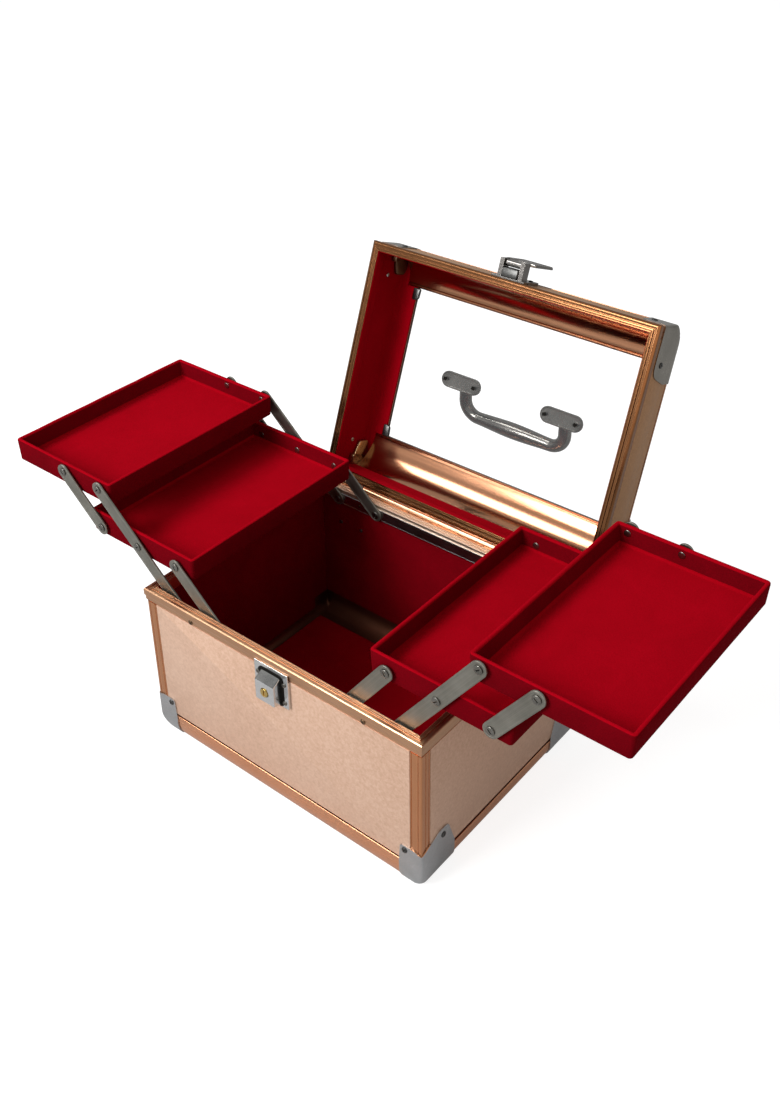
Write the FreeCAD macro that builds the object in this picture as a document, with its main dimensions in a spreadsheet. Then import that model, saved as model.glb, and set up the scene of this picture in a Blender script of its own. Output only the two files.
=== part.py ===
import FreeCAD, Part
import math
import os
import re
import Sketcher
from FreeCAD import Placement, Rotation, Vector

# Vanity case with swing-out trays, standing open, in millimetres.
# +X runs to the right along the latch side, +Y to the hinge side and +Z up. The origin is the centre of the
# flat underside. The lid is drawn shut and then turned open on its hinge. Arms and trays are drawn about their
# pivots and then set at the angles that they stand open at.

SIZES = {
    # Case as a whole
    "case_length": 250.0,
    "case_depth": 190.0,
    "base_height": 131.0,
    "lid_height": 48.0,
    "lid_gap": 0.3,
    "lid_open_angle": 110.6,
    # Walls, posts, edges and linings
    "panel_inset": 1.2,
    "wall_thick": 3.0,
    "lining_thick": 1.5,
    "post_face": 9.0,
    "front_round": 20.0,
    "side_round": 10.0,
    "lid_front_round": 17.0,
    "lid_front_cove": 11.0,
    "lid_side_round": 10.0,
    "front_flange": 14.0,
    "side_flange": 10.0,
    # Rims
    "rim_height": 11.0,
    "lid_rim_height": 9.0,
    "rim_width": 7.0,
    "rim_lip_height": 4.5,
    "rim_lip_step": 0.7,
    "rim_groove_inset": 2.6,
    "rim_groove_width": 1.4,
    "rim_groove_depth": 1.0,
    # Window in the lid
    "window_thick": 2.0,
    "window_drop": 0.5,
    "window_seat": 3.0,
    "window_clear": 0.1,
    # Corner caps
    "cap_thick": 0.8,
    "cap_lift": 0.3,
    "cap_notch_height": 33.0,
    "cap_waist_height": 20.0,
    "cap_corner": 4.0,
    "cap_front_reach": 18.0,
    "cap_front_height": 35.0,
    "cap_front_shoulder": 6.0,
    "cap_front_slant": 1.0,
    "cap_side_reach": 35.0,
    "cap_side_height": 41.0,
    "cap_side_shoulder": 18.0,
    "cap_side_slant": 7.0,
    "lid_cap_notch": 28.0,
    "lid_cap_waist": 14.0,
    "lid_cap_front_reach": 20.0,
    "lid_cap_front_drop": 30.0,
    "lid_cap_side_reach": 55.0,
    "lid_cap_side_drop": 32.0,
    "lid_cap_side_shoulder": 26.0,
    "lid_cap_side_slant": 9.0,
    "cap_rivet_radius": 2.2,
    "cap_front_rivet_inset": 13.3,
    "cap_front_rivet_height": 31.0,
    "cap_side_rivet_inset": 22.7,
    "cap_side_rivet_height": 34.8,
    "lid_front_rivet_inset": 14.0,
    "lid_front_rivet_drop": 25.0,
    "lid_side_rivet_inset": 36.0,
    "lid_side_rivet_drop": 27.0,
    "stud_radius": 1.2,
    "stud_head": 0.8,
    # Arm rails and pivots
    "rail_height": 10.0,
    "rail_thick": 1.2,
    "rail_end": 9.0,
    "rail_rivet_share": 0.55,
    "pivot_inset": 25.5,
    "pivot_drop": 8.0,
    "pivot_pitch": 39.0,
    "arm_pitch": 50.0,
    "arm_width": 11.4,
    "arm_thick": 1.5,
    "left_rise_angle": 42.0,
    "right_rise_angle": 54.0,
    "shank_radius": 1.6,
    "head_radius": 3.2,
    "head_thick": 0.8,
    "tail_radius": 2.6,
    "running_clear": 0.06,
    "open_clear": 0.25,
    "side_clear": 0.15,
    # Trays
    "tray_width": 107.0,
    "collar_thick": 1.5,
    "tray_height": 17.5,
    "tray_wall": 3.0,
    "tray_floor": 2.5,
    "tray_draft": 1.2,
    "tray_corner": 2.5,
    "lower_pivot_rise": 7.5,
    "lower_pivot_inset": 54.0,
    "upper_pivot_rise": 12.0,
    "upper_pivot_inset": 9.4,
    # Hinge
    "hinge_end": 17.0,
    "hinge_reach": 2.8,
    "knuckle_count": 9.0,
    "knuckle_radius": 2.4,
    "knuckle_gap": 0.3,
    "hinge_pin_radius": 1.2,
    "leaf_thick": 1.0,
    "leaf_height": 5.5,
    "leaf_drop": 0.5,
    # Keeper and lock
    "plate_thick": 1.2,
    "keeper_width": 30.0,
    "keeper_height": 29.0,
    "keeper_drop": 5.0,
    "lock_width": 17.0,
    "lock_depth": 7.0,
    "lock_height": 22.0,
    "lock_drop": 5.0,
    "lock_bevel": 4.0,
    "lock_foot": 1.5,
    "key_drop": 12.0,
    "key_radius": 3.2,
    "key_stand": 0.6,
    "key_depth": 4.0,
    "key_slot_width": 1.0,
    "key_slot_length": 4.4,
    "key_slot_depth": 1.5,
    "keeper_rivet_spread": 11.8,
    "keeper_rivet_rise": 4.5,
    "keeper_rivet_radius": 1.7,
    # Latch
    "latch_width": 28.0,
    "latch_plate_low": 1.5,
    "latch_plate_height": 22.0,
    "latch_pin_height": 8.0,
    "latch_pin_reach": 10.0,
    "latch_pin_radius": 1.2,
    "ear_thick": 3.5,
    "ear_reach": 13.0,
    "ear_height": 8.0,
    "lever_knuckle_radius": 2.4,
    "lever_knuckle_width": 14.0,
    "lever_width": 27.0,
    "lever_neck": 6.0,
    "lever_length": 37.0,
    "lever_thick": 1.5,
    "lever_curl_radius": 1.7,
    "lever_lean_angle": 2.0,
    "latch_rivet_spread": 10.0,
    "latch_rivet_height": 19.0,
    # Handle
    "pad_reach": 46.5,
    "pad_length": 37.0,
    "pad_width": 13.0,
    "pad_thick": 2.5,
    "pad_hole_pitch": 27.0,
    "handle_reach": 46.5,
    "handle_drop": 28.0,
    "eye_gap": 0.4,
    "handle_leg_radius": 5.2,
    "handle_grip_radius": 6.4,
    "eye_radius": 5.4,
    "eye_width": 11.0,
    "lug_thick": 2.5,
    "lug_depth": 12.0,
    "lug_cap": 5.0,
    "trunnion_radius": 2.0,
    "screw_radius": 1.5,
    "screw_head_radius": 2.6,
    "screw_head_thick": 1.2,
    # One overrun for every cut that passes a face
    "overrun": 1.0,
}

ENDS = {"front": -1, "back": 1}
WINGS = {"left": -1, "right": 1}
QUARTER_TURNS = {"front": 0, "right": 90, "back": 180, "left": 270}
X_AXIS, Y_AXIS, Z_AXIS = Vector(1, 0, 0), Vector(0, 1, 0), Vector(0, 0, 1)
ALONG = {"x": Rotation(Y_AXIS, 90), "y": Rotation(X_AXIS, -90), "z": Rotation()}
OUTLINE_WORD = re.compile(r"[a-z][a-z_]*")

# Places that many pieces share, as formulas of the sizes
HALF_X = "case_length / 2"
HALF_Y = "case_depth / 2"
SHELL_X = "(case_length / 2 - panel_inset)"
SHELL_Y = "(case_depth / 2 - panel_inset)"
RIM_LOW = "(base_height - rim_height)"
LID_FLOOR = "(base_height + lid_gap)"
LID_TOP = "(base_height + lid_height)"
LID_WALL_LOW = "(base_height + lid_gap + lid_rim_height)"
LID_FRONT_HIGH = "(base_height + lid_height - lid_front_round)"
LID_SIDE_HIGH = "(base_height + lid_height - lid_side_round)"
FLANGE_X = "(case_length / 2 - panel_inset - lid_side_round - side_flange)"
FLANGE_Y = "(case_depth / 2 - panel_inset - lid_front_round - front_flange)"
WINDOW_TOP = "(base_height + lid_height - window_drop)"
HINGE_Y = "(case_depth / 2 + hinge_reach)"
PIVOT_X = "(case_length / 2 - pivot_inset)"
PIVOT_Z = "(base_height - pivot_drop)"
RAIL_FACE = "(case_depth / 2 - rim_width)"
ARM_OUT = "(case_depth / 2 - rim_width - rail_thick - side_clear)"
ARM_IN = "(case_depth / 2 - rim_width - rail_thick - side_clear - arm_thick)"
TRAY_END = "(case_depth / 2 - rim_width - rail_thick - arm_thick - 2 * side_clear - collar_thick)"
PLATE_FACE = "(case_depth / 2 + plate_thick)"
KEEPER_HIGH = "(base_height - keeper_drop)"
KEEPER_LOW = "(base_height - keeper_drop - keeper_height)"
LOCK_HIGH = "(base_height - keeper_drop - lock_drop)"
LOCK_LOW = "(base_height - keeper_drop - lock_drop - lock_height)"
KEY_Z = "(base_height - keeper_drop - lock_drop - key_drop)"
LATCH_PIN_Y = "(case_depth / 2 + plate_thick + latch_pin_reach)"
LATCH_PIN_Z = "(base_height + latch_pin_height)"
HANDLE_AXIS_Z = "(base_height + lid_height - window_drop + pad_thick + eye_gap + eye_radius)"

doc = FreeCAD.newDocument("vanity_case")
sizes = doc.addObject("Spreadsheet::Sheet", "sizes")
pieces = []


def fill_sheet():
    """Write every driving size into the sheet, one named cell each."""
    for row, (name, value) in enumerate(SIZES.items(), start=1):
        sizes.set(f"A{row}", name)
        sizes.set(f"B{row}", str(value))
        sizes.setAlias(f"B{row}", name)
    doc.recompute()


def formula(text):
    """Point each size that a formula names at its cell."""
    def cell(word):
        return f"sizes.{word.group()}" if word.group() in SIZES else word.group()

    return OUTLINE_WORD.sub(cell, text)


def bind(item, **formulas):
    """Tie properties of an object to formulas of the sizes."""
    for name, text in formulas.items():
        item.setExpression(name, formula(text))
    return item


def place(item, x="0", y="0", z="0", turn=None, angle=None):
    """Tie an object's place to formulas, with a fixed turn or a turn by a formula about an axis."""
    if turn is not None:
        item.Placement = Placement(Vector(), turn)
    for axis, text in zip("xyz", (x, y, z)):
        item.setExpression(f"Placement.Base.{axis}", formula(text))
    if angle is not None:
        item.setExpression("Placement.Rotation.Angle", formula(angle))
    return item


def flip(span, sign):
    """Mirror a span of formulas to the other side of zero."""
    low, high = span
    return span if sign > 0 else (f"-({high})", f"-({low})")


def both(half):
    """Give the span from minus a half size to plus it."""
    return (f"-({half})", half)


def box(name, x, y, z):
    """Make a box between three spans of formulas."""
    item = doc.addObject("Part::Box", name)
    for prop, (low, high) in zip(("Length", "Width", "Height"), (x, y, z)):
        bind(item, **{prop: f"({high}) - ({low})"})
    return place(item, x[0], y[0], z[0])


def rod(name, axis, span, radius, x="0", y="0", z="0"):
    """Make a round rod along an axis, over a span of that axis."""
    item = bind(doc.addObject("Part::Cylinder", name), Radius=radius, Height=f"({span[1]}) - ({span[0]})")
    spot = {"x": x, "y": y, "z": z, axis: span[0]}
    return place(item, turn=ALONG[axis], **spot)


def fuse(name, items):
    """Join solids into one."""
    item = doc.addObject("Part::MultiFuse", name)
    item.Shapes = items
    return item


def group(name, items):
    """Keep separate solids together as one object."""
    item = doc.addObject("Part::Compound", name)
    item.Links = items
    return item


def cut(name, base, tools):
    """Take tools away from a base."""
    item = doc.addObject("Part::Cut", name)
    item.Base = base
    item.Tool = tools[0] if len(tools) == 1 else fuse(f"{name}_tools", tools)
    return item


def common(name, base, tool):
    """Keep what a base and a tool share."""
    item = doc.addObject("Part::Common", name)
    item.Base = base
    item.Tool = tool
    return item


def piece(item):
    """Note a finished sub-part, labelled by its name."""
    item.Label = item.Name
    pieces.append(item)
    return item


def lid_spot(y, z):
    """Give the place on the open lid of a point that is known with the lid shut."""
    back, rise = f"(({y}) - {HINGE_Y})", f"(({z}) - base_height)"
    return {"y": f"{HINGE_Y} + {back} * cos(lid_open_angle) + {rise} * sin(lid_open_angle)",
            "z": f"base_height - {back} * sin(lid_open_angle) + {rise} * cos(lid_open_angle)"}


def lid_piece(item):
    """Turn a sub-part that was drawn with the lid shut to the open lid."""
    return piece(place(item, turn=Rotation(-X_AXIS, 1), angle="lid_open_angle", **lid_spot("0", "0")))


def sketch_on(body, role, name):
    """Start a sketch on one of a body's own planes."""
    plane = next(feature for feature in body.Origin.OriginFeatures if feature.Role == role)
    sketch = body.newObject("Sketcher::SketchObject", name)
    sketch.AttachmentSupport = [(plane, "")]
    sketch.MapMode = "FlatFace"
    return sketch


def pin_point(sketch, shape, point, spot):
    """Hold a sketch point at a pair of formulas, measured from the origin."""
    for kind, axis, text in zip(("DistanceX", "DistanceY"), (-2, -1), spot):
        if text == "0":
            sketch.addConstraint(Sketcher.Constraint("PointOnObject", shape, point, axis))
        else:
            index = sketch.addConstraint(Sketcher.Constraint(kind, -1, 1, shape, point, 1))
            sketch.setExpression(f"Constraints[{index}]", formula(text))


def outline(sketch, points):
    """Draw a closed outline of straight lines through points given as formulas."""
    count = len(points)
    turns = [2 * math.pi * index / count for index in range(count)]
    starts = [Vector(math.cos(turn), math.sin(turn), 0) for turn in turns]
    for index in range(count):
        sketch.addGeometry(Part.LineSegment(starts[index], starts[(index + 1) % count]), False)
    for index in range(count):
        sketch.addConstraint(Sketcher.Constraint("Coincident", index, 2, (index + 1) % count, 1))
    for index, point in enumerate(points):
        pin_point(sketch, index, 1, point)


def pad(body, role, points, length):
    """Pad an outline to both sides of its plane."""
    sketch = sketch_on(body, role, f"{body.Name}_outline")
    outline(sketch, points)
    feature = body.newObject("PartDesign::Pad", f"{body.Name}_pad")
    feature.Profile = sketch
    feature.SideType = "Symmetric"
    return bind(feature, Length=length)


def pocket(body, sketch, length):
    """Cut a sketch out of a body to both sides of its plane."""
    feature = body.newObject("PartDesign::Pocket", f"{sketch.Name}_pocket")
    feature.Profile = sketch
    feature.SideType = "Symmetric"
    return bind(feature, Length=length)


def round_edges(body, base, radius, wanted):
    """Round the edges of a body's feature that a test picks."""
    doc.recompute()
    names = [f"Edge{number}" for number, edge in enumerate(base.Shape.Edges, start=1)
             if wanted(edge, base.Shape)]
    feature = body.newObject("PartDesign::Fillet", f"{body.Name}_round")
    feature.Base = (base, names)
    return bind(feature, Radius=radius)


def level_with(edge, level):
    """Say whether an edge lies flat at a height."""
    return all(math.isclose(vertex.Z, level, abs_tol=1e-6) for vertex in edge.Vertexes)


def rounded_prism(name, role, half, low, high, length, radius, upside):
    """Make a bar with a box section whose two lower, or two upper, long edges are rounded."""
    body = doc.addObject("PartDesign::Body", name)
    feature = pad(body, role, [(f"-({half})", low), (half, low), (half, high), (f"-({half})", high)], length)
    across = 1 if role == "YZ_Plane" else 0

    def long_edge(edge, shape):
        level = shape.BoundBox.ZMax if upside else shape.BoundBox.ZMin
        ends = [vertex.Point[across] for vertex in edge.Vertexes]
        return level_with(edge, level) and math.isclose(min(ends), max(ends), abs_tol=1e-6)

    round_edges(body, feature, radius, long_edge)
    return body


def hull(name, grow, low, high, front_radius, side_radius, upside):
    """Make the case's outer form, grown or shrunk, with its low or high edges rounded."""
    half_x, half_y = f"{SHELL_X} + ({grow})", f"{SHELL_Y} + ({grow})"
    lengthwise = rounded_prism(f"{name}_lengthwise", "YZ_Plane", half_y, low, high, f"2 * ({half_x})",
                               f"{front_radius} + ({grow})", upside)
    crosswise = rounded_prism(f"{name}_crosswise", "XZ_Plane", half_x, low, high, f"2 * ({half_y})",
                              f"{side_radius} + ({grow})", upside)
    return common(name, lengthwise, crosswise)


def corners(name, x, y, z):
    """Make a box in each of the four corners, from spans of one corner."""
    return [box(f"{name}_{end}_{wing}", flip(x, wing_sign), flip(y, end_sign), z)
            for end, end_sign in ENDS.items() for wing, wing_sign in WINGS.items()]


def mitre_bar(name, side, near, far, low, high):
    """Make a bar along one side of the case, mitred at both ends, between two distances in from outside."""
    along, across = ("case_length", "case_depth") if side in ENDS else ("case_depth", "case_length")
    item = doc.addObject("Part::Wedge", name)
    outer, inner = f"({along} / 2 - ({near}))", f"({along} / 2 - ({far}))"
    bind(item, Xmin=f"-{outer}", Xmax=outer, X2min=f"-{inner}", X2max=inner, Zmin=low, Z2min=low, Zmax=high,
         Z2max=high, Ymin=f"({near}) - {across} / 2", Ymax=f"({far}) - {across} / 2")
    item.Placement = Placement(Vector(), Rotation(Z_AXIS, QUARTER_TURNS[side]))
    return item


def rim(name, low, high, lip, groove):
    """Make a rim of four mitred bars, each with a stepped lip outside and a groove in its meeting face."""
    bars = []
    for side in QUARTER_TURNS:
        bar = mitre_bar(f"{name}_{side}_bar", side, "0", "rim_width", low, high)
        step = mitre_bar(f"{name}_{side}_step", side, "-overrun", "rim_lip_step", *lip)
        slot = mitre_bar(f"{name}_{side}_slot", side, "rim_groove_inset",
                         "rim_groove_inset + rim_groove_width", *groove)
        bars.append(cut(f"{name}_{side}", bar, [step, slot]))
    return group(name, bars)


def cap_lobes(name, role, half, across, lobe):
    """Make the outlines of two opposite cap lobes, each with a rounded boss and a slanting far edge."""
    axis = 1 if role == "YZ_Plane" else 0
    points = [(f"{half} + overrun", lobe["root"]), (f"{half} + overrun", lobe["notch"]),
              (f"{half} - {lobe['shoulder']}", lobe["top"]),
              (f"{half} - {lobe['reach']} + {lobe['slant']}", lobe["top"]),
              (f"{half} - {lobe['reach']}", lobe["waist"]), (f"{half} - {lobe['reach']}", lobe["root"])]

    def boss_corner(edge, shape):
        inner = min(abs(vertex.Point[axis]) for vertex in shape.Vertexes)
        outer = max(abs(vertex.Point[axis]) for vertex in shape.Vertexes)
        start, stop = (edge.Vertexes[index].Point[axis] for index in (0, -1))
        straight_across = math.isclose(start, stop, abs_tol=1e-6)
        between = inner + 1e-6 < abs(start) < outer - 1e-6
        return straight_across and between and level_with(edge, edge.Vertexes[0].Z)

    lobes = []
    for number, sign in enumerate(WINGS.values()):
        body = doc.addObject("PartDesign::Body", f"{name}_{number}")
        shape = [(f"{sign} * ({out})", up) for out, up in points]
        feature = pad(body, role, shape, f"2 * ({across} + overrun)")
        round_edges(body, feature, "cap_corner", boss_corner)
        lobes.append(body)
    return group(name, lobes)


def corner_caps(name, skin, straight_x, straight_y, front_lobe, side_lobe):
    """Make four caps that wrap the corners, with one lobe on the long face and one on the short face."""
    past_x, past_y, tall = f"{HALF_X} + overrun", f"{HALF_Y} + overrun", ("-overrun", f"{LID_TOP} + overrun")
    front_zones = [box(f"{name}_cap_{end}_zone", both(past_x), flip((straight_y, past_y), sign), tall)
                   for end, sign in ENDS.items()]
    side_zones = [box(f"{name}_cap_{wing}_zone", flip((straight_x, past_x), sign), both(past_y), tall)
                  for wing, sign in WINGS.items()]
    front_lobes = cap_lobes(f"{name}_cap_front_lobes", "XZ_Plane", SHELL_X, HALF_Y, front_lobe)
    side_lobes = cap_lobes(f"{name}_cap_side_lobes", "YZ_Plane", SHELL_Y, HALF_X, side_lobe)
    front = common(f"{name}_cap_front", group(f"{name}_cap_front_zones", front_zones), front_lobes)
    side = common(f"{name}_cap_side", group(f"{name}_cap_side_zones", side_zones), side_lobes)
    return common(f"{name}_corner_caps", skin, fuse(f"{name}_cap_zone", [front, side]))


def cap_studs(name, front_inset, front_height, side_inset, side_height):
    """Make the two rivets of each of the four caps."""
    studs = []
    for end, end_sign in ENDS.items():
        for wing, wing_sign in WINGS.items():
            across = f"{wing_sign} * ({SHELL_X} - {front_inset})"
            studs.append(stud(f"{name}_stud_{end}_{wing}_face", "y", end_sign, f"{SHELL_Y} + cap_thick",
                              "wall_thick", "cap_rivet_radius", x=across, z=front_height))
            along = f"{end_sign} * ({SHELL_Y} - {side_inset})"
            studs.append(stud(f"{name}_stud_{end}_{wing}_side", "x", wing_sign, f"{SHELL_X} + cap_thick",
                              "wall_thick", "cap_rivet_radius", y=along, z=side_height))
    return group(f"{name}_cap_rivets", studs)


def base_shell():
    """Make the panels, posts, edges, corner plugs, caps and linings of the base."""
    rounds = ("front_round", "side_round", False)
    core = hull("base_core", "0", "0", "base_height", *rounds)
    inside = hull("base_inside", "-wall_thick", "wall_thick", "base_height + overrun", *rounds)
    outside = hull("base_outside", "cap_thick", "-cap_thick", "base_height", *rounds)
    skin = cut("base_skin", core, [inside])

    floor_x, floor_y = f"{SHELL_X} - side_round", f"{SHELL_Y} - front_round"
    wall_y = (f"{SHELL_Y} - wall_thick", SHELL_Y)
    wall_x = (f"{SHELL_X} - wall_thick", SHELL_X)
    lining_y = (f"{SHELL_Y} - wall_thick - lining_thick", f"{SHELL_Y} - wall_thick")
    lining_x = (f"{SHELL_X} - wall_thick - lining_thick", f"{SHELL_X} - wall_thick")
    corner_x = (floor_x, f"{SHELL_X} + overrun")
    corner_y = (floor_y, f"{SHELL_Y} + overrun")
    long_x = both(f"{SHELL_X} - post_face")
    tall, low_tall = ("front_round", RIM_LOW), ("side_round", RIM_LOW)

    piece(box("base_bottom_panel", both(floor_x), both(floor_y), ("0", "wall_thick")))
    piece(box("base_floor_lining", both(floor_x), both(floor_y), ("wall_thick", "wall_thick + lining_thick")))
    for end, sign in ENDS.items():
        piece(box(f"base_{end}_panel", long_x, flip(wall_y, sign), tall))
        strip = box(f"base_{end}_edge_region", both(floor_x), flip(corner_y, sign), ("0", "front_round"))
        piece(common(f"base_{end}_edge", skin, strip))

    plugs = corners("base_plug_region", corner_x, corner_y, ("0", "front_round"))
    side_walls = [box(f"base_{wing}_panel", flip(wall_x, sign), both(f"{SHELL_Y} - post_face"), low_tall)
                  for wing, sign in WINGS.items()]
    piece(cut("base_side_panels", group("base_side_walls", side_walls), plugs))
    side_strips = [box(f"base_{wing}_edge_region", flip(corner_x, sign), both(floor_y), ("0", "side_round"))
                   for wing, sign in WINGS.items()]
    piece(common("base_side_edges", skin, group("base_side_strips", side_strips)))
    piece(common("base_corner_plugs", skin, group("base_plug_regions", plugs)))

    columns = corners("base_post_region", (f"{SHELL_X} - post_face", f"{SHELL_X} + overrun"),
                      (f"{SHELL_Y} - post_face", f"{SHELL_Y} + overrun"), tall)
    piece(common("base_corner_posts", skin, group("base_post_regions", columns)))

    sheets = [box(f"base_{end}_lining", both(f"{SHELL_X} - wall_thick"), flip(lining_y, sign), tall)
              for end, sign in ENDS.items()]
    short_y = both(f"{SHELL_Y} - wall_thick - lining_thick")
    sheets += [box(f"base_{wing}_lining", flip(lining_x, sign), short_y, low_tall)
               for wing, sign in WINGS.items()]
    piece(cut("base_wall_lining", group("base_lining_sheets", sheets), plugs))

    shared = {"root": "cap_lift", "notch": "cap_notch_height", "waist": "cap_waist_height"}
    front_lobe = {"reach": "cap_front_reach", "shoulder": "cap_front_shoulder", "slant": "cap_front_slant",
                  "top": "cap_front_height", **shared}
    side_lobe = {"reach": "cap_side_reach", "shoulder": "cap_side_shoulder", "slant": "cap_side_slant",
                 "top": "cap_side_height", **shared}
    cap_skin = cut("base_cap_skin", outside, [core])
    piece(corner_caps("base", cap_skin, floor_x, floor_y, front_lobe, side_lobe))
    piece(cap_studs("base", "cap_front_rivet_inset", "cap_front_rivet_height", "cap_side_rivet_inset",
                    "cap_side_rivet_height"))


def stud(name, axis, sign, face, depth, head, x="0", y="0", z="0"):
    """Make a rivet with a low head on an outer face and a shank that goes in from it."""
    spot = {"x": x, "y": y, "z": z}
    del spot[axis]
    shank = rod(f"{name}_shank", axis, flip((f"{face} - ({depth})", face), sign), "stud_radius", **spot)
    crown = rod(f"{name}_head", axis, flip((face, f"{face} + stud_head"), sign), head, **spot)
    return fuse(name, [shank, crown])


def base_rim():
    """Make the base's rim, with its groove upwards and its lip below."""
    piece(rim("base_rim", RIM_LOW, "base_height", (f"{RIM_LOW} - overrun", f"{RIM_LOW} + rim_lip_height"),
              ("base_height - rim_groove_depth", "base_height + overrun")))


def lid_shell():
    """Make the panels, posts, edges, corner plugs, window, caps and linings of the lid."""
    rounds = ("lid_front_round", "lid_side_round", True)
    coves = ("lid_front_cove + wall_thick", "lid_side_round", True)
    core = hull("lid_core", "0", LID_FLOOR, LID_TOP, *rounds)
    inside = hull("lid_inside", "-wall_thick", f"{LID_FLOOR} - overrun", f"{LID_TOP} - wall_thick", *coves)
    lined = hull("lid_lined", "-wall_thick - lining_thick", f"{LID_FLOOR} - 2 * overrun",
                 f"{LID_TOP} - wall_thick - lining_thick", *coves)
    outside = hull("lid_outside", "cap_thick", LID_FLOOR, f"{LID_TOP} + cap_thick", *rounds)
    skin = cut("lid_skin", core, [inside])

    straight_x, straight_y = f"{SHELL_X} - lid_side_round", f"{SHELL_Y} - lid_front_round"
    wall_y, wall_x = (f"{SHELL_Y} - wall_thick", SHELL_Y), (f"{SHELL_X} - wall_thick", SHELL_X)
    front_tall, side_tall = (LID_WALL_LOW, LID_FRONT_HIGH), (LID_WALL_LOW, LID_SIDE_HIGH)
    front_edge_z = (LID_FRONT_HIGH, f"{LID_TOP} + overrun")
    side_edge_z = (LID_SIDE_HIGH, f"{LID_TOP} + overrun")
    edge_x, edge_y = (FLANGE_X, f"{SHELL_X} + overrun"), (FLANGE_Y, f"{SHELL_Y} + overrun")
    corner_x = (straight_x, f"{SHELL_X} + overrun")

    glass_x, glass_y = f"{FLANGE_X} + window_seat", f"{FLANGE_Y} + window_seat"
    glass_z = (f"{WINDOW_TOP} - window_thick", WINDOW_TOP)
    seat = box("lid_window_seat", both(f"{glass_x} + window_clear"), both(f"{glass_y} + window_clear"),
               (f"{WINDOW_TOP} - window_thick - window_clear", f"{WINDOW_TOP} + window_clear"))
    glass = box("lid_window_sheet", both(glass_x), both(glass_y), glass_z)
    holes = [rod(f"lid_window_hole_{number}", "z", (f"{WINDOW_TOP} - window_thick - overrun", LID_TOP),
                 "screw_radius + running_clear", x=spot) for number, spot in enumerate(screw_places())]
    lid_piece(cut("lid_window", glass, holes))

    for end, sign in ENDS.items():
        sheet = box(f"lid_{end}_sheet", both(f"{SHELL_X} - post_face"), flip(wall_y, sign), front_tall)
        lid_piece(group(f"lid_{end}_panel", [sheet]))
        strip = box(f"lid_{end}_edge_region", both(straight_x), flip(edge_y, sign), front_edge_z)
        lid_piece(cut(f"lid_{end}_edge", common(f"lid_{end}_edge_bar", skin, strip), [seat]))
    plugs = corners("lid_plug_region", corner_x, edge_y, front_edge_z)
    walls = [box(f"lid_{wing}_panel", flip(wall_x, sign), both(f"{SHELL_Y} - post_face"), side_tall)
             for wing, sign in WINGS.items()]
    lid_piece(cut("lid_side_panels", group("lid_side_walls", walls), plugs))
    strips = [box(f"lid_{wing}_edge_region", flip(edge_x, sign), both(FLANGE_Y), side_edge_z)
              for wing, sign in WINGS.items()]
    side_bars = common("lid_side_edge_bars", skin, group("lid_side_strips", strips))
    lid_piece(cut("lid_side_edges", side_bars, [seat]))
    lid_piece(common("lid_corner_plugs", skin, group("lid_plug_regions", plugs)))
    columns = corners("lid_post_region", (f"{SHELL_X} - post_face", f"{SHELL_X} + overrun"),
                      (f"{SHELL_Y} - post_face", f"{SHELL_Y} + overrun"), front_tall)
    lid_piece(common("lid_corner_posts", skin, group("lid_post_regions", columns)))

    flock = cut("lid_flock", inside, [lined])
    lined_z = (LID_WALL_LOW, LID_TOP)
    regions = []
    for wing, sign in WINGS.items():
        middle = box(f"lid_{wing}_lining_region", flip((FLANGE_X, SHELL_X), sign), both(FLANGE_Y), lined_z)
        ends = box(f"lid_{wing}_lining_ends", flip((straight_x, SHELL_X), sign), both(SHELL_Y), lined_z)
        regions.append(fuse(f"lid_{wing}_lining_zone", [middle, ends]))
    front_y = (straight_y, SHELL_Y)
    regions += [box(f"lid_{end}_lining_region", both(straight_x), flip(front_y, sign), front_tall)
                for end, sign in ENDS.items()]
    lid_piece(common("lid_wall_lining", flock, group("lid_lining_regions", regions)))

    shared = {"root": f"{LID_TOP} + overrun", "notch": f"{LID_TOP} - lid_cap_notch",
              "waist": f"{LID_TOP} - lid_cap_waist"}
    front_lobe = {"reach": "lid_cap_front_reach", "shoulder": "cap_front_shoulder",
                  "slant": "cap_front_slant", "top": f"{LID_TOP} - lid_cap_front_drop", **shared}
    side_lobe = {"reach": "lid_cap_side_reach", "shoulder": "lid_cap_side_shoulder",
                 "slant": "lid_cap_side_slant", "top": f"{LID_TOP} - lid_cap_side_drop", **shared}
    cap_skin = cut("lid_cap_skin", outside, [core])
    lid_piece(corner_caps("lid", cap_skin, straight_x, straight_y, front_lobe, side_lobe))
    lid_piece(cap_studs("lid", "lid_front_rivet_inset", f"{LID_TOP} - lid_front_rivet_drop",
                        "lid_side_rivet_inset", f"{LID_TOP} - lid_side_rivet_drop"))


def lid_rim():
    """Make the lid's rim, with its groove downwards and its lip above."""
    lid_piece(rim("lid_rim", LID_FLOOR, LID_WALL_LOW,
                  (f"{LID_WALL_LOW} - rim_lip_height", f"{LID_WALL_LOW} + overrun"),
                  (f"{LID_FLOOR} - overrun", f"{LID_FLOOR} + rim_groove_depth")))


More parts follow.
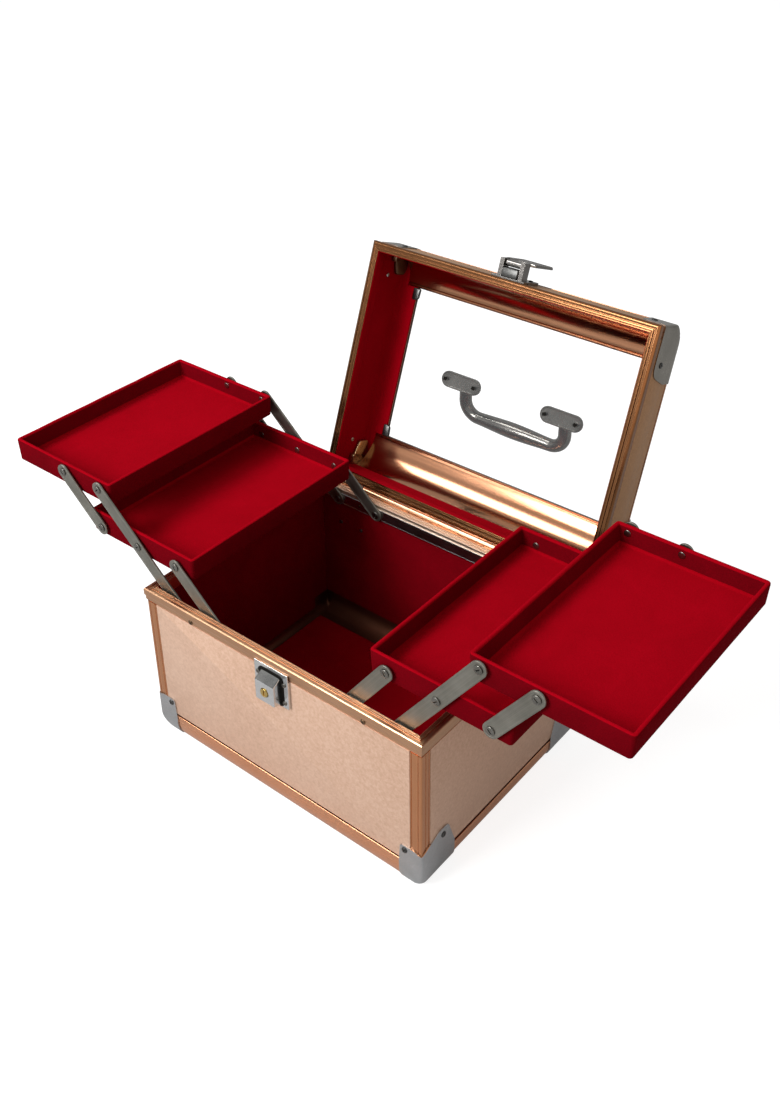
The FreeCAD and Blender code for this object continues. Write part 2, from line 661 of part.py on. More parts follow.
def hinge():
    """Make the two leaves of the full-length hinge, with turn-about knuckles, and its pin."""
    count = int(SIZES["knuckle_count"])
    reach = f"({HALF_X} - hinge_end)"
    pitch = f"(2 * {reach} / knuckle_count)"
    spans = [(f"{index} * {pitch} - {reach}", f"{index + 1} * {pitch} - {reach}") for index in range(count)]
    whole = both(reach)
    leaf_y = (HALF_Y, f"{HALF_Y} + leaf_thick")
    axis_spot = {"y": HINGE_Y, "z": "base_height"}
    heights = {"base": ("base_height - leaf_drop - leaf_height", "base_height - leaf_drop"),
               "lid": ("base_height + leaf_drop", "base_height + leaf_drop + leaf_height")}
    for part, (name, leaf_z) in enumerate(heights.items()):
        solids = [box(f"{name}_leaf_plate", whole, leaf_y, leaf_z)]
        gaps = [rod(f"{name}_leaf_bore", "x", whole, "hinge_pin_radius + running_clear", **axis_spot)]
        for index, (low, high) in enumerate(spans):
            own, other = (f"{low} + knuckle_gap / 2", f"{high} - knuckle_gap / 2"), (low, high)
            if index % 2 == part:
                solids.append(rod(f"{name}_knuckle_{index}", "x", own, "knuckle_radius", **axis_spot))
            else:
                gaps.append(rod(f"{name}_knuckle_gap_{index}", "x", other, "knuckle_radius + knuckle_gap",
                                **axis_spot))
        leaf = cut(f"{name}_hinge_leaf", fuse(f"{name}_leaf_solid", solids), gaps)
        if name == "base":
            piece(leaf)
        else:
            lid_piece(leaf)
    piece(rod("hinge_pin", "x", whole, "hinge_pin_radius", **axis_spot))


def arm_rails():
    """Make the steel rails inside the front and back rims, their rivets and the pivots that they carry."""
    rail_z = (f"{PIVOT_Z} - rail_height / 2", f"{PIVOT_Z} + rail_height / 2")
    rail_rivets, pivots = [], []
    for end, end_sign in ENDS.items():
        rail_y = flip((f"{RAIL_FACE} - rail_thick", RAIL_FACE), end_sign)
        through = flip((f"{RAIL_FACE} - rail_thick - overrun", f"{RAIL_FACE} + overrun"), end_sign)
        bar = box(f"arm_rail_{end}_bar", both(f"{PIVOT_X} + rail_end"), rail_y, rail_z)
        holes = []
        for wing, sign in WINGS.items():
            for number, spot in enumerate((PIVOT_X, f"{PIVOT_X} - pivot_pitch")):
                name, at = f"{end}_{wing}_{number}", f"{sign} * ({spot})"
                holes.append(rod(f"rail_hole_{name}", "y", through, "shank_radius", x=at, z=PIVOT_Z))
                shank = rod(f"pivot_shank_{name}", "y", flip((f"{ARM_IN} - side_clear", RAIL_FACE), end_sign),
                            "shank_radius", x=at, z=PIVOT_Z)
                head = rod(f"pivot_head_{name}", "y",
                           flip((f"{ARM_IN} - side_clear - head_thick", f"{ARM_IN} - side_clear"), end_sign),
                           "head_radius", x=at, z=PIVOT_Z)
                pivots.append(fuse(f"pivot_{name}", [shank, head]))
            at = f"{sign} * ({PIVOT_X} - rail_rivet_share * pivot_pitch)"
            holes.append(rod(f"rail_rivet_hole_{end}_{wing}", "y", through, "stud_radius", x=at, z=PIVOT_Z))
            lip_face = f"{HALF_Y} - rim_lip_step"
            rail_rivets.append(stud(f"rail_rivet_{end}_{wing}", "y", end_sign, lip_face,
                                    f"{lip_face} - {RAIL_FACE} + rail_thick", "keeper_rivet_radius", x=at,
                                    z=PIVOT_Z))
        piece(cut(f"arm_rail_{end}", bar, holes))
    piece(group("arm_rail_rivets", rail_rivets))
    piece(group("arm_pivots", pivots))


def arm_pair(name, wing, reach, holes, x, z):
    """Make a front and a back arm, drawn along +X from their first pivot and set at the side's rise."""
    arms = []
    for end, sign in ENDS.items():
        thick = flip((ARM_IN, ARM_OUT), sign)
        through = flip((f"{ARM_IN} - overrun", f"{ARM_OUT} + overrun"), sign)
        bar = [box(f"{name}_{end}_bar", ("0", reach), thick, both("arm_width / 2"))]
        bar += [rod(f"{name}_{end}_end_{number}", "y", thick, "arm_width / 2", x=at)
                for number, at in enumerate(("0", reach))]
        bores = [rod(f"{name}_{end}_bore_{number}", "y", through, f"shank_radius + {clear}", x=at)
                 for number, (at, clear) in enumerate(holes)]
        arms.append(cut(f"{name}_{end}", fuse(f"{name}_{end}_blank", bar), bores))
    pair = group(name, arms)
    pair.Placement = Placement(Vector(), Rotation(-Y_AXIS, 1))
    rise = f"{wing}_rise_angle"
    piece(place(pair, x=x, z=z, angle=rise if wing == "right" else f"180 - {rise}"))


def tray(name, sign, rise, inset, pivots, x, z):
    """Make a tray with sloping long sides, drawn about its first pivot, and the rivets that it hangs on."""
    body = doc.addObject("PartDesign::Body", name)
    outer, inner = f"tray_width - {inset}", f"-{inset}"
    top, low = f"tray_height - {rise}", f"-{rise}"
    slope = "tray_draft / tray_height"
    wall_low = f"(tray_wall + {slope} * (tray_height - tray_floor))"
    wall_high = f"(tray_wall - {slope} * overrun)"
    blank = [(f"{inner} + tray_draft", low), (f"{outer} - tray_draft", low), (outer, top), (inner, top)]
    floor, brim = f"{low} + tray_floor", f"{top} + overrun"
    hollow = [(f"{inner} + {wall_low}", floor), (f"{outer} - {wall_low}", floor),
              (f"{outer} - {wall_high}", brim), (f"{inner} + {wall_high}", brim)]
    shell = pad(body, "XZ_Plane", [(f"{sign} * ({across})", up) for across, up in blank], f"2 * {TRAY_END}")

    def corner_edge(edge, shape):
        reach = shape.BoundBox.YMax
        ends = edge.Vertexes
        upright = not math.isclose(ends[0].Z, ends[-1].Z, abs_tol=1e-6)
        return upright and all(math.isclose(abs(vertex.Y), reach, abs_tol=1e-6) for vertex in ends)

    round_edges(body, shell, "tray_corner", corner_edge)
    sketch = sketch_on(body, "XZ_Plane", f"{name}_hollow")
    outline(sketch, [(f"{sign} * ({across})", up) for across, up in hollow])
    pocket(body, sketch, f"2 * ({TRAY_END} - tray_wall)")
    sketch = sketch_on(body, "XZ_Plane", f"{name}_bores")
    for index, at in enumerate(pivots):
        sketch.addGeometry(Part.Circle(Vector(index, index, 0), Z_AXIS, 1), False)
        pin_point(sketch, index, 3, ("0" if at == "0" else f"{sign} * ({at})", "0"))
        radius = sketch.addConstraint(Sketcher.Constraint("Radius", index, 1))
        sketch.setExpression(f"Constraints[{radius}]", formula("shank_radius"))
    pocket(body, sketch, f"2 * ({TRAY_END} + overrun)")
    piece(place(body, x=x, z=z))

    rivets = []
    for end, end_sign in ENDS.items():
        for index, at in enumerate(pivots):
            inside, outside = f"{TRAY_END} - tray_wall", f"{ARM_OUT} + side_clear"
            stations = {"shank": (inside, outside, "shank_radius"),
                        "collar": (TRAY_END, f"{ARM_IN} - side_clear", "head_radius"),
                        "head": (outside, f"{outside} + head_thick", "head_radius"),
                        "tail": (f"{inside} - head_thick", inside, "tail_radius")}
            solids = [rod(f"{name}_{part}_{end}_{index}", "y", flip((near, far), end_sign), radius,
                          x=f"{sign} * ({at})") for part, (near, far, radius) in stations.items()]
            rivets.append(fuse(f"{name}_rivet_{end}_{index}", solids))
    piece(place(group(f"{name}_rivets", rivets), x=x, z=z))


def tray_wing(wing, sign):
    """Make one side's two trays and three pairs of arms, on their pivots."""
    rise = f"{wing}_rise_angle"
    step_x, step_z = f"arm_pitch * cos({rise})", f"arm_pitch * sin({rise})"
    root_x, root_z = f"{sign} * {PIVOT_X}", PIVOT_Z
    lower_x, lower_z = f"{sign} * ({PIVOT_X} + {step_x})", f"{PIVOT_Z} + {step_z}"
    upper_x, upper_z = f"{sign} * ({PIVOT_X} + 2 * {step_x})", f"{PIVOT_Z} + 2 * {step_z}"
    tight, loose = "running_clear", "open_clear"
    arm_pair(f"{wing}_long_arms", wing, "2 * arm_pitch",
             [("0", tight), ("arm_pitch", tight), ("2 * arm_pitch", tight)], root_x, root_z)
    arm_pair(f"{wing}_inner_arms", wing, "arm_pitch", [("0", tight), ("arm_pitch", loose)],
             f"{sign} * ({PIVOT_X} - pivot_pitch)", root_z)
    arm_pair(f"{wing}_outer_arms", wing, "arm_pitch", [("0", tight), ("arm_pitch", loose)],
             f"{sign} * ({PIVOT_X} + {step_x} + pivot_pitch)", lower_z)
    tray(f"{wing}_lower_tray", sign, "lower_pivot_rise", "lower_pivot_inset",
         ["0", "pivot_pitch", "-pivot_pitch"], lower_x, lower_z)
    tray(f"{wing}_upper_tray", sign, "upper_pivot_rise", "upper_pivot_inset",
         ["0", "pivot_pitch"], upper_x, upper_z)


def keeper():
    """Make the keeper plate on the base's front, the lock on it, the key cylinder and the rivets."""
    width = both("keeper_width / 2")
    blank = box("keeper_blank", width, (f"-{PLATE_FACE}", f"-{SHELL_Y}"), (KEEPER_LOW, KEEPER_HIGH))
    behind = box("keeper_rim_room", both("keeper_width / 2 + overrun"),
                 (f"-({HALF_Y})", f"overrun - {SHELL_Y}"), (RIM_LOW, f"{KEEPER_HIGH} + overrun"))
    piece(cut("keeper_plate", blank, [behind]))

    front = f"-({PLATE_FACE} + lock_depth)"
    body = doc.addObject("PartDesign::Body", "lock_block")
    pad(body, "YZ_Plane", [(f"-{PLATE_FACE}", LOCK_LOW), (front, f"{LOCK_LOW} + lock_foot"),
                           (front, f"{LOCK_HIGH} - lock_bevel"), (f"-{PLATE_FACE}", LOCK_HIGH)], "lock_width")
    bore = rod("lock_bore", "y", (f"{front} - overrun", f"{front} + key_depth + side_clear"),
               "key_radius + running_clear", z=KEY_Z)
    piece(cut("lock_housing", body, [bore]))
    barrel = rod("lock_barrel", "y", (f"{front} - key_stand", f"{front} + key_depth"), "key_radius", z=KEY_Z)
    slot = box("key_slot", both("key_slot_width / 2"), (f"{front} - key_stand - overrun",
                                                         f"{front} - key_stand + key_slot_depth"),
               (f"{KEY_Z} - key_slot_length / 2", f"{KEY_Z} + key_slot_length / 2"))
    piece(cut("lock_cylinder", barrel, [slot]))
    rows = {"low": f"{KEEPER_LOW} + keeper_rivet_rise", "high": f"{KEEPER_HIGH} - 2 * keeper_rivet_rise"}
    piece(group("keeper_rivets", [
        stud(f"keeper_rivet_{row}_{wing}", "y", -1, PLATE_FACE, "plate_thick + panel_inset + wall_thick",
             "keeper_rivet_radius", x=f"{sign} * keeper_rivet_spread", z=height)
        for row, height in rows.items() for wing, sign in WINGS.items()]))


def latch():
    """Make the latch's plate on the lid's front with two ears, its pin, rivets and the lever, swung back."""
    plate_z = ("base_height + latch_plate_low", "base_height + latch_plate_low + latch_plate_height")
    blank = box("latch_blank", both("latch_width / 2"), (f"-{PLATE_FACE}", f"-{SHELL_Y}"), plate_z)
    behind = box("latch_rim_room", both("latch_width / 2 + overrun"),
                 (f"-({HALF_Y})", f"overrun - {SHELL_Y}"), ("base_height", LID_WALL_LOW))
    ear_x = ("lever_knuckle_width / 2 + side_clear", "lever_knuckle_width / 2 + side_clear + ear_thick")
    ears = [box(f"latch_ear_{wing}", flip(ear_x, sign), (f"-({PLATE_FACE} + ear_reach)", f"-{PLATE_FACE}"),
                (f"{LATCH_PIN_Z} - ear_height / 2", f"{LATCH_PIN_Z} + ear_height / 2"))
            for wing, sign in WINGS.items()]
    pin_x = both("lever_knuckle_width / 2 + side_clear + ear_thick")
    pin_spot = {"y": f"-{LATCH_PIN_Y}", "z": LATCH_PIN_Z}
    bore = rod("latch_bore", "x", both("latch_width / 2 + overrun"), "latch_pin_radius", **pin_spot)
    plate = cut("latch_seat", blank, [behind])
    lid_piece(cut("latch_base_plate", fuse("latch_frame", [plate] + ears), [bore]))
    lid_piece(group("latch_pin", [rod("latch_pin_rod", "x", pin_x, "latch_pin_radius", **pin_spot)]))
    lid_piece(group("latch_rivets", [
        stud(f"latch_rivet_{wing}", "y", -1, PLATE_FACE, "plate_thick + panel_inset + wall_thick",
             "keeper_rivet_radius", x=f"{sign} * latch_rivet_spread", z="base_height + latch_rivet_height")
        for wing, sign in WINGS.items()]))

    sheet_y = ("-lever_knuckle_radius", "lever_thick - lever_knuckle_radius")
    knuckle_x = both("lever_knuckle_width / 2")
    solids = [rod("lever_knuckle", "x", knuckle_x, "lever_knuckle_radius"),
              box("lever_neck_sheet", knuckle_x, sheet_y, ("0", "lever_neck")),
              box("lever_sheet", both("lever_width / 2"), sheet_y, ("lever_neck", "lever_length")),
              rod("lever_curl", "x", both("lever_width / 2"), "lever_curl_radius",
                  y="lever_curl_radius - lever_knuckle_radius", z="lever_length")]
    bore = rod("lever_bore", "x", both("latch_width / 2"), "latch_pin_radius + running_clear")
    lever = cut("latch_lever", fuse("lever_blank", solids), [bore])
    piece(place(lever, turn=Rotation(-X_AXIS, 1), angle="lid_open_angle + lever_lean_angle",
                **lid_spot(f"-{LATCH_PIN_Y}", LATCH_PIN_Z)))


def screw_places():
    """List where the handle's screws stand along the lid."""
    return [f"{sign} * (pad_reach + {step} * pad_hole_pitch / 2)"
            for sign in WINGS.values() for step in WINGS.values()]


def handle():
    """Make the two pads with their lugs, the screws through the window and the bail, hanging down."""
    plate_z = (WINDOW_TOP, f"{WINDOW_TOP} + pad_thick")
    axis_spot = {"z": HANDLE_AXIS_Z}
    pads = []
    for wing, sign in WINGS.items():
        straight = ("pad_reach - (pad_length - pad_width) / 2", "pad_reach + (pad_length - pad_width) / 2")
        solids = [box(f"pad_{wing}_plate", flip(straight, sign), both("pad_width / 2"), plate_z)]
        solids += [rod(f"pad_{wing}_end_{number}", "z", plate_z, "pad_width / 2", x=f"{sign} * ({at})")
                   for number, at in enumerate(straight)]
        for number, side in enumerate(WINGS.values()):
            near = f"handle_reach + {side} * (eye_width / 2 + side_clear)"
            far = f"handle_reach + {side} * (eye_width / 2 + side_clear + lug_thick)"
            lug_x = (near, far) if side > 0 else (far, near)
            solids.append(box(f"pad_{wing}_lug_{number}", flip(lug_x, sign), both("lug_depth / 2"),
                              (WINDOW_TOP, f"{HANDLE_AXIS_Z} + lug_cap")))
        axle = flip(("handle_reach - pad_length / 2", "handle_reach + pad_length / 2"), sign)
        bores = [rod(f"pad_{wing}_axle", "x", axle, "trunnion_radius + running_clear", **axis_spot)]
        through = (f"{WINDOW_TOP} - overrun", f"{plate_z[1]} + overrun")
        bores += [rod(f"pad_{wing}_hole_{number}", "z", through, "screw_radius + running_clear", x=spot)
                  for number, spot in enumerate(screw_places())]
        pads.append(cut(f"handle_pad_{wing}", fuse(f"pad_{wing}_blank", solids), bores))
    lid_piece(group("handle_pads", pads))

    glass_low = f"{WINDOW_TOP} - window_thick"
    screws = []
    for number, spot in enumerate(screw_places()):
        shank = rod(f"handle_screw_{number}_shank", "z", (glass_low, plate_z[1]), "screw_radius", x=spot)
        head = rod(f"handle_screw_{number}_head", "z", (f"{glass_low} - screw_head_thick", glass_low),
                   "screw_head_radius", x=spot)
        screws.append(fuse(f"handle_screw_{number}", [shank, head]))
    lid_piece(group("handle_screws", screws))

    solids = []
    for wing, sign in WINGS.items():
        leg_x = f"{sign} * handle_reach"
        trunnion = flip(("handle_reach - eye_width / 2 - side_clear - lug_thick",
                         "handle_reach + eye_width / 2 + side_clear + lug_thick"), sign)
        eye = flip(("handle_reach - eye_width / 2", "handle_reach + eye_width / 2"), sign)
        solids.append(rod(f"bail_{wing}_eye", "x", eye, "eye_radius"))
        solids.append(rod(f"bail_{wing}_trunnion", "x", trunnion, "trunnion_radius"))
        solids.append(rod(f"bail_{wing}_leg", "z", ("-handle_drop", "0"), "handle_leg_radius", x=leg_x))
        elbow = bind(doc.addObject("Part::Sphere", f"bail_{wing}_elbow"), Radius="handle_leg_radius")
        solids.append(place(elbow, x=leg_x, z="-handle_drop"))
        grip = bind(doc.addObject("Part::Cone", f"bail_{wing}_grip"), Radius1="handle_grip_radius",
                    Radius2="handle_leg_radius", Height="handle_reach")
        solids.append(place(grip, z="-handle_drop", turn=Rotation(Y_AXIS, 90 * sign)))
    bail = fuse("handle_bail", solids)
    piece(place(bail, **lid_spot("0", HANDLE_AXIS_Z)))


def check_and_write():
    """Check every object and each sub-part's shape, then write the sub-parts."""
    doc.recompute()
    failed = [item.Name for item in doc.Objects if {"Invalid", "Error"} & set(item.State)]
    failed += [item.Label for item in pieces if item.Shape.isNull() or not item.Shape.isValid()]
    if failed:
        raise RuntimeError(f"these objects failed: {failed}")
    os.makedirs("parts", exist_ok=True)
    for item in pieces:
        item.Shape.exportStep(f"parts/{item.Label}.step")
    print(f"{len(pieces)} sub-parts, {sum(len(item.Shape.Solids) for item in pieces)} solids")


fill_sheet()
base_shell()
base_rim()
arm_rails()
keeper()
hinge()
lid_shell()
lid_rim()
latch()
handle()
for wing_name, wing_side in WINGS.items():
    tray_wing(wing_name, wing_side)
check_and_write()
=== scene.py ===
"""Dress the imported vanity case: bars, flocked trays, steel arms, fasteners, finishes, light and camera."""
import logging
import math
from collections.abc import Iterable, Sequence
from dataclasses import dataclass, field
from enum import Enum

import bmesh
import bpy
from mathutils import Matrix, Vector


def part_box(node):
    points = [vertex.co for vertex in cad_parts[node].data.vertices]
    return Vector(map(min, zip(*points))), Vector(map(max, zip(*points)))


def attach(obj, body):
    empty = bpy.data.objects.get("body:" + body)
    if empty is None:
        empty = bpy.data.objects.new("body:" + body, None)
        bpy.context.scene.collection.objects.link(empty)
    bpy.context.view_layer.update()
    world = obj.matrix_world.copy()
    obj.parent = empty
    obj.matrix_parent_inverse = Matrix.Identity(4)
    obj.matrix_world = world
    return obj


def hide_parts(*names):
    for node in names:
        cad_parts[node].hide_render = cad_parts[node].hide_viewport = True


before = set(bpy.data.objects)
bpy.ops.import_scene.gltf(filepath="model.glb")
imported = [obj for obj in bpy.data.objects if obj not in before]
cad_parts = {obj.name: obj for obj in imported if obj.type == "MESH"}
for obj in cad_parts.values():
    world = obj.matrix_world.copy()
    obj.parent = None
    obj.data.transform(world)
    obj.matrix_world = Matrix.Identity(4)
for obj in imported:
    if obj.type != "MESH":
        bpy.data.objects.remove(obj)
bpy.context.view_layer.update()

MM = 0.001
Point2 = tuple[float, float]
Point3 = tuple[float, float, float]
Corner = tuple[float, float, float]
Colour = tuple[float, float, float]
Material = bpy.types.Material
Node = bpy.types.Node
Socket = bpy.types.NodeSocket
log = logging.getLogger("vanity_case")


class Grain(Enum):
    """The way that a finish's streaks run."""

    ALONG_X = (0.004, 1.0, 1.0)
    ALONG_Z = (1.0, 1.0, 0.004)
    ALONG_PIECE = (0.004, 1.0, 1.001)


class Side(Enum):
    """The four sides of the case, as quarter turns from the latch side."""

    FRONT = 0
    RIGHT = 1
    BACK = 2
    LEFT = 3


class Wing(Enum):
    """The two tray sides, with the sign of their X."""

    LEFT = -1
    RIGHT = 1


# Shapes


def fillet(corners: Sequence[Corner], steps: int = 4) -> list[Point2]:
    """Round the corners of a closed outline.

    Args:
        corners: Points as (x, y, radius).
        steps: Straight steps in each rounded corner.

    Returns:
        The outline with its corners replaced by arcs.
    """
    outline: list[Point2] = []
    count = len(corners)
    for index, (x, y, radius) in enumerate(corners):
        here = Vector((x, y))
        before = Vector(corners[index - 1][:2]) - here
        after = Vector(corners[(index + 1) % count][:2]) - here
        half = before.angle(after, math.pi) / 2
        if radius <= 0 or half > 1.55:
            outline.append((x, y))
            continue
        run = min(radius / math.tan(half), before.length * 0.49, after.length * 0.49)
        start, end = here + before.normalized() * run, here + after.normalized() * run
        for step in range(steps + 1):
            share = step / steps
            point = start * (1 - share) ** 2 + here * 2 * share * (1 - share) + end * share**2
            outline.append((point.x, point.y))
    return outline


def arc(centre: Point2, radius: float, start: float, end: float, steps: int) -> list[Point2]:
    """Give points on an arc.

    Args:
        centre: Middle of the arc.
        radius: Radius of the arc.
        start: First angle in degrees.
        end: Last angle in degrees.
        steps: Straight steps along the arc.

    Returns:
        The arc's points, both ends included.
    """
    turns = [math.radians(start + (end - start) * step / steps) for step in range(steps + 1)]
    return [(centre[0] + radius * math.cos(turn), centre[1] + radius * math.sin(turn)) for turn in turns]


def inset(outline: Sequence[Point2], distance: float) -> list[Point2]:
    """Move a closed outline that runs anticlockwise towards its inside.

    Args:
        outline: The outline's points.
        distance: How far each side moves.

    Returns:
        The moved outline, with as many points.
    """
    moved: list[Point2] = []
    count = len(outline)
    for index in range(count):
        before, here, after = (Vector(outline[(index + step) % count]) for step in (-1, 0, 1))
        first, second = (here - before).normalized(), (after - here).normalized()
        normals = Vector((-first.y, first.x)), Vector((-second.y, second.x))
        spread = max(0.3, 1 + normals[0].dot(normals[1]))
        point = here + (normals[0] + normals[1]) * (distance / spread)
        moved.append((point.x, point.y))
    return moved


def stadium(length: float, width: float, steps: int = 12) -> list[Point2]:
    """Give the outline of a bar with round ends, from its first end centre at the origin along +X."""
    radius = width / 2
    return arc((length, 0), radius, -90, 90, steps) + arc((0, 0), radius, 90, 270, steps)


def rectangle(width: float, height: float, radius: float, steps: int = 4) -> list[Point2]:
    """Give a rounded rectangle round the origin, anticlockwise."""
    x, y = width / 2, height / 2
    return fillet([(-x, -y, radius), (x, -y, radius), (x, y, radius), (-x, y, radius)], steps)


class Form:
    """A closed mesh in the making, in millimetres, with a map of its own length and girth for streaks."""

    def __init__(self) -> None:
        """Start with an empty mesh."""
        self.mesh = bmesh.new()
        self.grain = self.mesh.loops.layers.uv.new("grain")

    @classmethod
    def copy_of(cls, node: bpy.types.Object) -> "Form":
        """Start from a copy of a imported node, with its loose triangles merged.

        Args:
            node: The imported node's object, which stays as it is.

        Returns:
            A form with the node's shape, in millimetres.
        """
        form = cls()
        form.mesh.from_mesh(node.data)
        form.grain = form.mesh.loops.layers.uv.get("grain") or form.mesh.loops.layers.uv.new("grain")
        bmesh.ops.remove_doubles(form.mesh, verts=form.mesh.verts, dist=2e-6)
        bmesh.ops.dissolve_limit(form.mesh, angle_limit=0.008, verts=form.mesh.verts, edges=form.mesh.edges)
        form.move(Matrix.Scale(1 / MM, 4))
        return form

    def loft(self, loops: Sequence[Sequence[Sequence[float]]], capped: bool = True) -> "Form":
        """Skin a row of loops that have equal numbers of points.

        Args:
            loops: The loops, each a list of points.
            capped: Whether the first and last loops are filled.

        Returns:
            This form.
        """
        rows = [[self.mesh.verts.new(point) for point in loop] for loop in loops]
        for first, second in zip(rows, rows[1:]):
            for index in range(len(first)):
                after = (index + 1) % len(first)
                self.mesh.faces.new((first[index], first[after], second[after], second[index]))
        if capped:
            self.mesh.faces.new(rows[0][::-1])
            self.mesh.faces.new(rows[-1])
        return self

    def plate(self, outline: Sequence[Point2], low: float, high: float, edge: float, dish: float = 0.0,
              border: float = 1.2) -> "Form":
        """Make a plate with rounded edges and, if wanted, a shallow dished middle on both faces.

        Args:
            outline: The plate's outline in X and Y, anticlockwise.
            low: Height of its lower face.
            high: Height of its upper face.
            edge: Radius of its rounded edges.
            dish: Depth of the dished middle.
            border: Width of the flat border round the dish.

        Returns:
            This form.
        """
        stations = [(edge, low), (edge * 0.3, low + edge * 0.3), (0, low + edge), (0, high - edge),
                    (edge * 0.3, high - edge * 0.3), (edge, high)]
        if dish:
            stations = [(border + 2 * dish, low + dish), (border, low), *stations, (border, high),
                        (border + 2 * dish, high - dish)]
        return self.loft([[(x, y, z) for x, y in inset(outline, step)] for step, z in stations])

    def bar(self, profile: Sequence[Point2], start: float, end: float, mitre: bool = False) -> "Form":
        """Draw a profile along X, square or mitred at its ends.

        Args:
            profile: Points as (y, z), or for a mitred bar (distance in, z).
            start: X of the first end.
            end: X of the last end.
            mitre: Whether the ends slope inwards by the distance in.

        Returns:
            This form.
        """
        first = [(start + (depth if mitre else 0), depth, z) for depth, z in profile]
        last = [(end - (depth if mitre else 0), depth, z) for depth, z in profile]
        return self.loft([first, last])

    def lathe(self, profile: Sequence[Point2], segments: int = 28) -> "Form":
        """Turn a profile about the X axis.

        Args:
            profile: Points as (x, radius), all with a radius above zero.
            segments: Steps round the axis.

        Returns:
            This form.
        """
        turns = [2 * math.pi * step / segments for step in range(segments)]
        return self.loft([[(x, radius * math.cos(turn), radius * math.sin(turn)) for turn in turns]
                          for x, radius in profile])

    def tube(self, path: Sequence[Vector], radii: Sequence[float], across: Vector, squash: float = 1.0,
             segments: int = 20) -> "Form":
        """Sweep a round section along a path that lies in one plane.

        Args:
            path: Points of the path.
            radii: The section's radius at each point.
            across: Direction square to the path's plane.
            squash: Share of the radius that is kept across the plane.
            segments: Steps round the section.

        Returns:
            This form.
        """
        loops = []
        for index, (point, radius) in enumerate(zip(path, radii)):
            ahead = path[min(index + 1, len(path) - 1)] - path[max(index - 1, 0)]
            side = ahead.normalized().cross(across)
            turns = [2 * math.pi * step / segments for step in range(segments)]
            flat = radius * squash
            loops.append([point + side * (radius * math.cos(turn)) + across * (flat * math.sin(turn))
                          for turn in turns])
        return self.loft(loops)

    def move(self, matrix: Matrix) -> "Form":
        """Place the whole form by a matrix."""
        bmesh.ops.transform(self.mesh, matrix=matrix, verts=self.mesh.verts)
        return self

    def map_grain(self) -> "Form":
        """Write each corner's place along and round the form into its streak map, before it is placed.

        Returns:
            This form.
        """
        for face in self.mesh.faces:
            for loop in face.loops:
                point = loop.vert.co
                loop[self.grain].uv = (point.x * MM, (point.y + point.z) * MM)
        return self

    def take(self, other: "Form", matrix: Matrix | None = None) -> "Form":
        """Add another form to this one.

        Args:
            other: The form to add, which is used up.
            matrix: Where it goes, after its streaks are mapped.

        Returns:
            This form.
        """
        other.map_grain()
        if matrix is not None:
            other.move(matrix)
        spare = bpy.data.meshes.new("spare")
        other.mesh.to_mesh(spare)
        other.mesh.free()
        self.mesh.from_mesh(spare)
        bpy.data.meshes.remove(spare)
        return self


def plain_mesh(item: bpy.types.Object) -> None:
    """Swap an object's mesh for what its modifiers make of it, and take the modifiers off.

    Args:
        item: The object.
    """
    graph = bpy.context.evaluated_depsgraph_get()
    made = bpy.data.meshes.new_from_object(item.evaluated_get(graph), preserve_all_data_layers=True,
                                           depsgraph=graph)
    made.name = item.name
    item.modifiers.clear()
    item.data = made


# Finishes


class NodeBoard:
    """A short way to lay out and wire the nodes of one tree."""

    def __init__(self, tree: bpy.types.NodeTree) -> None:
        """Keep the tree."""
        self.tree = tree

    def add(self, kind: str, values: dict | None = None, **settings: object) -> Node:
        """Add a node.

        Args:
            kind: The node's type name.
            values: Values of its input sockets, by name or number.
            **settings: Properties of the node itself.

        Returns:
            The new node.
        """
        node = self.tree.nodes.new(kind)
        for name, setting in settings.items():
            setattr(node, name, setting)
        for socket, value in (values or {}).items():
            node.inputs[socket].default_value = value
        return node

    def wire(self, source: Socket, target: Socket) -> None:
        """Link an output to an input."""
        self.tree.links.new(source, target)

    def maths(self, operation: str, first: object, second: object) -> Socket:
        """Add a maths node on two sockets or numbers and give its output.

        Args:
            operation: Name of the operation.
            first: The first socket or number.
            second: The second one.

        Returns:
            The node's output.
        """
        node = self.add("ShaderNodeMath", operation=operation)
        for socket, value in zip(node.inputs, (first, second)):
            if isinstance(value, (int, float)):
                socket.default_value = value
            else:
                self.wire(value, socket)
        return node.outputs[0]

    def spread(self, source: Socket, low: float, high: float) -> Socket:
        """Spread a pattern's middle range over two values.

        Args:
            source: The pattern.
            low: Value at its low end.
            high: Value at its high end.

        Returns:
            The spread pattern.
        """
        node = self.add("ShaderNodeMapRange", {"From Min": 0.3, "From Max": 0.7, "To Min": low,
                                               "To Max": high})
        self.wire(source, node.inputs["Value"])
        return node.outputs["Result"]

    def tints(self, source: Socket, stops: Sequence[tuple[float, Colour]]) -> Socket:
        """Turn a pattern into colours by stops of (place, colour).

        Args:
            source: The pattern.
            stops: The stops.

        Returns:
            The colour.
        """
        ramp = self.add("ShaderNodeValToRGB")
        bands = ramp.color_ramp.elements
        while len(bands) < len(stops):
            bands.new(0.5)
        for band, (place, colour) in zip(bands, stops):
            band.position = place
            band.color = (*colour, 1)
        self.wire(source, ramp.inputs["Fac"])
        return ramp.outputs["Color"]


